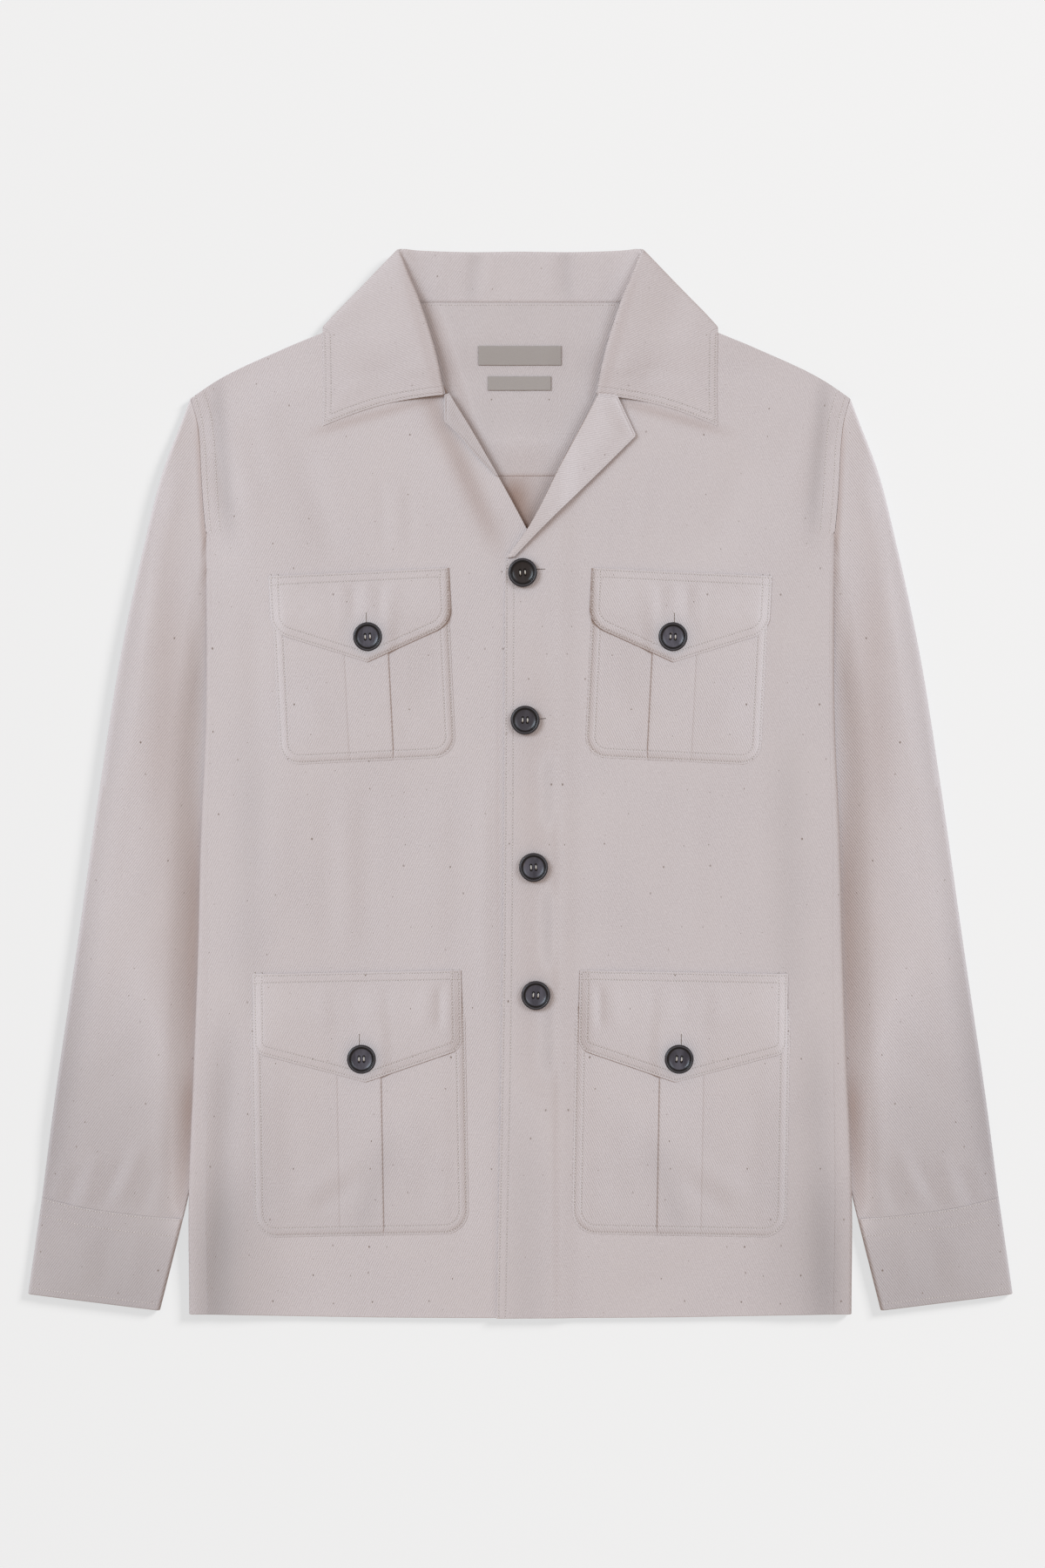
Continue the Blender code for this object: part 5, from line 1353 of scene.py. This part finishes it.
# buttons: a raised rim, a groove, a dished middle, four blind holes and two bars of thread
button = {
    "radius": 10.3, "height": 4.2, "hole": 1.05, "holeSides": 20, "offset": 1.75, "sides": 72, "sharp": 38,
    "cutter": 3.0, "cutterAt": 1.62,  # length and middle of a hole's cutter, in heights of the button
    "profile": ((0.0, 0.60), (0.20, 0.60), (0.36, 0.605), (0.50, 0.625), (0.62, 0.67), (0.70, 0.735),
                (0.745, 0.80), (0.77, 0.87), (0.79, 0.90), (0.81, 0.895), (0.825, 0.90), (0.845, 0.96),
                (0.875, 1.0), (0.91, 0.995), (0.945, 0.965), (0.975, 0.90), (0.993, 0.80), (1.0, 0.66),
                (0.995, 0.48), (0.97, 0.30), (0.92, 0.14), (0.84, 0.03), (0.78, 0.0), (0.0, 0.0)),
    "turns": (4, -3, 2, -5, 6, -2, 3, -4), "brown": {"button_front_1": 0.9, "button_front_2": 0.35},
    "strands": (-0.21, 0.21), "strandRadius": 0.21, "strandSides": 8, "strandSteps": 13,
    "barSeat": 0.6, "barRise": 0.7, "barDive": 3.0, "barDroop": 0.12, "barPinch": 0.25,
}


def makeButtonMesh():
    shape = bmesh.new()
    rings = []
    for r, z in button["profile"]:
        r, z = r * button["radius"] * mm, z * button["height"] * mm
        turns = np.linspace(0, 2 * math.pi, button["sides"], endpoint=False) if r else (0.0,)
        rings.append([shape.verts.new((r * math.cos(t), r * math.sin(t), z)) for t in turns])
    for upper, lower in zip(rings, rings[1:]):
        for k in range(button["sides"]):
            n = (k + 1) % button["sides"]
            loop = [ring[at % len(ring)] for ring, at in ((upper, k), (lower, k), (lower, n), (upper, n))]
            shape.faces.new(list(dict.fromkeys(loop)))
    bmesh.ops.recalc_face_normals(shape, faces=shape.faces)
    mesh = bpy.data.meshes.new("buttonBlank")
    shape.to_mesh(mesh)
    shape.clear()
    hole, offset, height = (button[name] * mm for name in ("hole", "offset", "height"))
    for sx in (-1, 1):
        for sy in (-1, 1):
            spot = Matrix.Translation((sx * offset, sy * offset, button["cutterAt"] * height))
            bmesh.ops.create_cone(shape, cap_ends=True, segments=button["holeSides"], radius1=hole,
                                  radius2=hole, depth=button["cutter"] * height, matrix=spot)
    holes = bpy.data.meshes.new("buttonHoles")
    shape.to_mesh(holes)
    shape.free()
    blank, cutter = (bpy.data.objects.new(m.name, m) for m in (mesh, holes))
    for item in (blank, cutter):
        bpy.context.scene.collection.objects.link(item)
    cut = blank.modifiers.new("holes", "BOOLEAN")
    cut.object = cutter
    pierced = bpy.data.meshes.new_from_object(blank.evaluated_get(bpy.context.evaluated_depsgraph_get()))
    for item in (blank, cutter):
        bpy.data.objects.remove(item)
    pierced.shade_smooth()
    pierced.set_sharp_from_angle(angle=math.radians(button["sharp"]))
    out = pierced.attributes.new("turned", "FLOAT", "POINT")
    out.data.foreach_set("value", [v.co.xy.length / (button["radius"] * mm) for v in pierced.vertices])
    return pierced


def makeBarsMesh():  # two bars of thread over the middle, each of two strands
    points, faces = [], []
    sides, r = button["strandSides"], button["strandRadius"]
    top = button["barSeat"] * button["height"] + button["barRise"]
    along = np.linspace(-1, 1, button["strandSteps"])
    turns = np.linspace(0, 2 * math.pi, sides, endpoint=False)
    for bar in (-1, 1):
        for strand in button["strands"]:
            start = len(points)
            for t in along:
                x = bar * button["offset"] + strand * (1 - button["barPinch"] * t * t)
                z = top - button["barDive"] * abs(t)**3 - button["barDroop"] * abs(strand)
                points += [(x + r * math.cos(a), t * button["offset"], z + r * math.sin(a)) for a in turns]
            for row in range(start, len(points) - sides, sides):
                for a in range(sides):
                    b = (a + 1) % sides
                    faces.append((row + a, row + sides + a, row + sides + b, row + b))
            faces.append(tuple(range(start, start + sides)))
            faces.append(tuple(range(len(points) - 1, len(points) - sides - 1, -1)))
    mesh = bpy.data.meshes.new("threadBars")
    mesh.from_pydata((np.array(points) * mm).tolist(), [], faces)
    mesh.shade_smooth()
    return mesh


buttonMesh = makeButtonMesh()
barsMesh = makeBarsMesh()
buttonNodes = [f"button_{name}_{hand}" for name in pockets for _, hand in hands]
buttonNodes += [f"button_front_{number}" for number in (1, 2, 3, 4)]
for node, angle in zip(buttonNodes, button["turns"]):
    low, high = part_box(node)
    spot = Vector(((low.x + high.x) / 2, (low.y + high.y) / 2, low.z))
    placed = Matrix.Translation(spot) @ Matrix.Rotation(math.radians(angle), 4, "Z")
    disc, bars = buttonMesh.copy(), barsMesh.copy()
    for mesh in (disc, bars):
        mesh.transform(placed)
    brown = button["brown"].get(node, 0.0)
    disc.attributes.new("brown", "FLOAT", "POINT").data.foreach_set("value", [brown] * len(disc.vertices))
    finishPiece(node + "_horn", disc, horn, node)
    finishPiece(node + "_thread", bars, buttonThread)
print("buttons and labels placed")


# rows of stitches by geometry nodes: points along a path, one small thread loop on each
stitchLook = {"sides": 6, "rings": 4, "holeRings": 3, "holeAt": (0.59, 0.0, 0.0),
              "holeSize": (0.42, 1.15, 0.9), "vary": (0.82, 1.08), "seed": 7}


def markedBead(tree, rings, needleShade, at, size):  # a bead of thread, or a dark bead of painted shade where the thread goes into the cloth
    bead = addNode(tree, "GeometryNodeMeshUVSphere", Segments=stitchLook["sides"], Rings=rings, Radius=0.5)
    moved = addNode(tree, "GeometryNodeTransform", Geometry=bead.outputs[0], Translation=at, Scale=size)
    mark = addNode(tree, "GeometryNodeStoreNamedAttribute", Geometry=moved.outputs[0], Name="needleShade")
    mark.data_type = "FLOAT"
    next(s for s in mark.inputs if s.name == "Value" and s.enabled).default_value = needleShade
    return mark.outputs[0]


def makeStitchTree(name, pierced):
    sizes = dict.fromkeys(("Pitch", "Length", "Width", "Height"), "Float")
    inputs = {"Path": "Geometry", **sizes, "Thread": "Material"}
    tree, into, out = newGroup(name, inputs, {"Stitches": "Geometry"}, "GeometryNodeTree")
    even = tree.nodes.new("GeometryNodeResampleCurve")
    even.mode = "LENGTH"
    curve = addNode(tree, "GeometryNodeMeshToCurve", Mesh=into["Path"])
    tree.links.new(curve.outputs[0], even.inputs["Curve"])
    tree.links.new(into["Pitch"], even.inputs["Length"])
    loop = tree.nodes.new("GeometryNodeJoinGeometry")
    beads = [(stitchLook["rings"], 0.0, (0.0, 0.0, 0.0), (1.0, 1.0, 1.0))]
    if pierced:
        beads.append((stitchLook["holeRings"], 1.0, stitchLook["holeAt"], stitchLook["holeSize"]))
    for bead in beads:
        tree.links.new(markedBead(tree, *bead), loop.inputs[0])
    size = addNode(tree, "ShaderNodeCombineXYZ", X=into["Length"], Y=into["Width"], Z=into["Height"])
    vary = addNode(tree, "FunctionNodeRandomValue", Seed=stitchLook["seed"])
    vary.data_type = "FLOAT"
    for socket, value in zip((s for s in vary.inputs if s.type == "VALUE"), stitchLook["vary"]):
        socket.default_value = value
    share = next(s for s in vary.outputs if s.type == "VALUE")
    scaled = tree.nodes.new("ShaderNodeVectorMath")
    scaled.operation = "SCALE"
    tree.links.new(size.outputs[0], scaled.inputs[0])
    tree.links.new(share, scaled.inputs["Scale"])
    turn = addNode(tree, "FunctionNodeAlignRotationToVector",
                   Vector=tree.nodes.new("GeometryNodeInputTangent").outputs[0])
    turn.axis = "X"
    done = addNode(tree, "GeometryNodeInstanceOnPoints", Points=even.outputs[0], Instance=loop.outputs[0],
                   Rotation=turn.outputs[0], Scale=scaled.outputs[0])
    for kind in ("GeometryNodeRealizeInstances", "GeometryNodeSetShadeSmooth"):
        done = addNode(tree, kind, Geometry=done.outputs[0])
    done = addNode(tree, "GeometryNodeSetMaterial", Geometry=done.outputs[0], Material=into["Thread"])
    tree.links.new(done.outputs[0], out[0])
    return tree


stitchTree = makeStitchTree("stitchRow", True)
loopTree = makeStitchTree("loopRow", False)
sewing = {"Pitch": 2.0, "Length": 1.7, "Width": 0.62, "Height": 0.5}
edging = {"Pitch": 2.0, "Length": 1.6, "Width": 0.5, "Height": 0.4}
whipping = {"Pitch": 0.42, "Length": 0.46, "Width": 1.7, "Height": 0.6}
slit = {"Pitch": 0.5, "Length": 1.1, "Width": 0.55, "Height": 0.5}
pathStep = 0.8
cornerShare = 0.985  # nearer to the line than this share of the offset is a loop at a corner
rayFrom = 0.1  # metres above or below the cloth


def offsetPath(line, distance):  # the same line moved to its left, without the loops at corners
    line = np.asarray(line, float)
    reach = np.concatenate([[0.0], np.cumsum(np.linalg.norm(np.diff(line, axis=0), axis=1))])
    at = np.linspace(0, reach[-1], max(12, int(reach[-1] / pathStep)))
    dense = np.stack([np.interp(at, reach, line[:, axis]) for axis in (0, 1)], axis=1)
    along = np.gradient(dense, axis=0)
    along = along / np.linalg.norm(along, axis=1, keepdims=True)
    moved = dense + distance * np.stack([-along[:, 1], along[:, 0]], axis=1)
    return moved[gapTo(moved, line) > abs(distance) * cornerShare]


def surfaceOf(names):
    points, faces = [], []
    for name in names:
        mesh = made[name].data
        start = len(points)
        points += [v.co.copy() for v in mesh.vertices]
        faces += [[start + v for v in p.vertices] for p in mesh.polygons]
    return BVHTree.FromPolygons(points, faces)


def sew(name, paths, on, row=sewing, sink=0.05, below=False, yarn=None):
    yarn = yarn or thread
    surface = surfaceOf(on)
    points, edges = [], []
    for path in paths:
        for up in ((False, True) if below else (False,)):
            last = None
            for x, y in path:
                start = Vector((x * mm, y * mm, -rayFrom if up else rayFrom))
                hit = surface.ray_cast(start, Vector((0, 0, 1 if up else -1)))[0]
                if hit is None:
                    last = None
                    continue
                points.append((hit.x, hit.y, hit.z + (sink if up else -sink) * mm))
                if last is not None:
                    edges.append((last, len(points) - 1))
                last = len(points) - 1
    mesh = bpy.data.meshes.new(name + "_path")
    mesh.from_pydata(points, edges, [])
    carrier = bpy.data.objects.new(name + "_path", mesh)
    bpy.context.scene.collection.objects.link(carrier)
    rows = carrier.modifiers.new("stitches", "NODES")
    rows.node_group = stitchTree if row is sewing else loopTree
    for item in rows.node_group.interface.items_tree:
        if item.in_out == "INPUT" and item.name in row:
            rows[item.identifier] = row[item.name] * mm
        elif item.in_out == "INPUT" and item.name == "Thread":
            rows[item.identifier] = yarn
    bpy.context.view_layer.update()
    stitched = bpy.data.meshes.new_from_object(carrier.evaluated_get(bpy.context.evaluated_depsgraph_get()))
    bpy.data.objects.remove(carrier)
    return finishPiece(name, stitched, yarn)


rowGaps = (stitchRows["first"], stitchRows["second"])
seamRows = {"armhole": (3.7, 10.5), "cuffSeam": (1.3, 12.4), "cuffHem": 4.6, "ends": (0.03, 0.97),
            "neckHalf": 66, "neckDrop": 1.5, "lapelTo": 0.97}
for side, hand in hands:
    for name, row in pockets.items():
        topX = np.linspace(rowGaps[0], row["flapWidth"] - rowGaps[0], 90) - row["flapWidth"] / 2
        bagRows = [offsetPath(pocketOutline(row), gap) for gap in rowGaps]
        flapRows = [offsetPath(flapOutline(row), gap) for gap in rowGaps]
        flapRows += [np.stack([topX, np.full(len(topX), -gap)], axis=1) for gap in rowGaps]
        for part, lines in (("pocket", bagRows), ("flap", flapRows)):
            lines = [pocketPlace(line, row, side) for line in lines]
            sew(f"stitches_{part}_{name}_{hand}", lines, [f"{part}_{name}_{hand}_cloth"])
    armholeRows = [offsetPath(armholeLine(side), side * gap) for gap in seamRows["armhole"]]
    sew(f"stitches_armhole_{hand}", armholeRows, [f"front_{hand}_cloth"])
    along = np.linspace(*seamRows["ends"], 50)
    seamLine, hemLine = (lineThrough(cuffs[line], along) * (side, 1.0) for line in ("seam", "hem"))
    cuffRows = [offsetPath(seamLine, -side * gap) for gap in seamRows["cuffSeam"]]
    cuffRows.append(offsetPath(hemLine, side * seamRows["cuffHem"]))
    sew(f"stitches_cuff_{hand}", cuffRows, [f"cuff_{hand}_cloth"], below=True)

frontEdge = lineThrough(fronts["left"]["edge"], np.linspace(0, 1, 80))
sew("stitches_front_edge", [offsetPath(frontEdge, -gap) for gap in rowGaps], ["front_left_cloth"])
lapelEdge = lineThrough(lapels["left"]["edge"], np.linspace(0, seamRows["lapelTo"], 60))
sew("stitches_lapel_left", [offsetPath(lapelEdge, -rowGaps[0])], ["lapel_left_cloth"], edging)
collarGaps = (collar["firstRow"], collar["secondRow"])
collarRows = [offsetPath(edge, turn * gap) for edge, turn in zip(collarEdges, (1, -1)) for gap in collarGaps]
collarRows = [line[np.abs(line[:, 0]) > collar["sewnFrom"]] for line in collarRows]
sew("stitches_collar", collarRows, ["collar_cloth"])
neckX = np.linspace(-seamRows["neckHalf"], seamRows["neckHalf"], 70)
neckRow = np.stack([neckX, np.full(len(neckX), body["neckSeam"] - seamRows["neckDrop"])], axis=1)
sew("stitches_yoke", [neckRow], ["yoke_cloth"])

# buttonholes: a dark slit, a painted shade in the cut, whipped all along on the flaps and at the end on the
# front edge
buttonholes = {
    "chest": ((109.4, 122.2), (109.4, 113.0)), "hip": ((114.4, -176.6), (114.4, -185.0)),
    "front": (((18.2, 152.7), (9.0, 152.4)), ((18.9, 46.6), (10.5, 46.0))),
    "sink": 0.12, "steps": 24, "whipped": 4, "flapSlitFrom": 3, "frontSlitFrom": 2,
}
flapHole = makeThread("flapHoleShade", threadLook["flapHole"])
frontHole = makeThread("frontHoleShade", threadLook["frontHole"])
holeAt = np.linspace(0, 1, buttonholes["steps"])
sink = buttonholes["sink"]
for side, hand in hands:
    for name in pockets:
        line = lineThrough(buttonholes[name], holeAt) * (side, 1.0)
        flap = [f"flap_{name}_{hand}_cloth"]
        sew(f"buttonhole_{name}_{hand}", [line], flap, whipping, sink)
        dark = [line[buttonholes["flapSlitFrom"]:]]
        sew(f"buttonhole_slit_{name}_{hand}", dark, flap, slit, -sink, yarn=flapHole)
frontHoles = [lineThrough(ends, holeAt) for ends in buttonholes["front"]]
whipped = [line[:buttonholes["whipped"]] for line in frontHoles]
sew("buttonhole_front", whipped, ["front_left_cloth"], whipping, sink)
dark = [line[buttonholes["frontSlitFrom"]:] for line in frontHoles]
sew("buttonhole_slit_front", dark, ["front_left_cloth"], slit, 0.0, yarn=frontHole)
print("stitched:", len(made), "pieces")


# floor, light and camera: cool soft lamps in a warm room, one on each side for that half of the jacket
studio = {
    "floor": (0.206, 0.254, 0.299, 1.0), "glow": 0.60, "floorHalf": 4, "floorTop": -0.0004,
    "wall": (0.86, 0.86, 0.86, 1.0), "world": 0.535, "warm": (1.0, 0.81, 0.69, 1.0),
    "cool": (0.731, 0.880, 1.0), "lamp": (4.4, 2.2, 5.6), "lampSize": 3.4, "power": 528.0,
    "lowLamp": (9.0, 6.5, 5.6), "lowShare": 4.55,
    "eye": (0.00155, 0.0, 2.636), "lens": 85.0, "sensor": 36.0,
    "litBy": {"right": {"right": 1.0}, "left": {"left": 1.0}, "middle": {"right": 0.7, "left": 0.3},
              "between": {"right": 0.65, "left": 0.35}, "floor": {}},
    "between": ("front_left_cloth", "stitches_front_edge"),
}
floorMaterial, _, floorShader = newMaterial("studioFloor", 0.9)
floorShader.inputs["Base Color"].default_value = studio["floor"]
floorShader.inputs["Emission Color"].default_value = (1.0, 1.0, 1.0, 1.0)
floorShader.inputs["Emission Strength"].default_value = studio["glow"]
floorMesh = bpy.data.meshes.new("studio_floor")
half, top = studio["floorHalf"], studio["floorTop"]
corners = [(sx * half, sy * half, top) for sx, sy in ((-1, -1), (1, -1), (1, 1), (-1, 1))]
floorMesh.from_pydata(corners, [], [(0, 1, 2, 3)])
floorMesh.materials.append(floorMaterial)
floor = bpy.data.objects.new("studio_floor", floorMesh)
bpy.context.scene.collection.objects.link(floor)

halves = {name: bpy.data.collections.new("lit_" + name) for name in studio["litBy"]}
for name, piece in made.items():
    half = next((hand for hand in ("right", "left") if hand in name.split("_")), "middle")
    half = "middle" if name.startswith("button_") else half
    half = "between" if name in studio["between"] else half
    halves[half].objects.link(piece)
halves["floor"].objects.link(floor)
casting = bpy.data.collections.new("casting")  # all but the pocket buttons, whose shadows don't show
for name, piece in made.items():
    if not name.startswith(("button_chest", "button_hip")):
        casting.objects.link(piece)


def addLamp(name, side, power, half, spot):
    lamp = bpy.data.lights.new(name, "AREA")
    lamp.size = studio["lampSize"]
    lamp.energy = power
    lamp.color = studio["warm"][:3] if half == "floor" else studio["cool"]
    box = bpy.data.objects.new(name, lamp)
    box.location = (side * spot[0], spot[1], spot[2])
    box.rotation_euler = (-box.location).to_track_quat("-Z", "Y").to_euler()
    box.visible_camera = False
    box.light_linking.receiver_collection = halves[half]
    if half in ("right", "left"):
        box.light_linking.blocker_collection = casting
    bpy.context.scene.collection.objects.link(box)


for half, lit in studio["litBy"].items():
    for side, hand in hands:
        if hand in lit:
            addLamp(f"lamp_{hand}_on_{half}", side, studio["power"] * lit[hand], half, studio["lamp"])
addLamp("lamp_on_floor", 1, studio["power"] * studio["lowShare"], "floor", studio["lowLamp"])

world = bpy.data.worlds.new("studio")
world.use_nodes = True
sky = world.node_tree
room = sky.nodes["Background"]
room.inputs["Color"].default_value = studio["warm"]
room.inputs["Strength"].default_value = studio["world"]
backdrop = addNode(sky, "ShaderNodeBackground", Color=studio["wall"])  # as pale as the floor
seen = sky.nodes.new("ShaderNodeMixShader")
path = sky.nodes.new("ShaderNodeLightPath")
sources = (path.outputs["Is Camera Ray"], room.outputs[0], backdrop.outputs[0])
for socket, source in zip(seen.inputs, sources):
    sky.links.new(source, socket)
sky.links.new(seen.outputs[0], sky.nodes["World Output"].inputs["Surface"])
bpy.context.scene.world = world

lens = bpy.data.cameras.new("camera")
lens.lens = studio["lens"]
lens.sensor_width = studio["sensor"]
camera = bpy.data.objects.new("camera", lens)
camera.location = studio["eye"]
bpy.context.scene.collection.objects.link(camera)
bpy.context.scene.camera = camera
bpy.context.scene.view_settings.view_transform = "Standard"

print("studio ready")
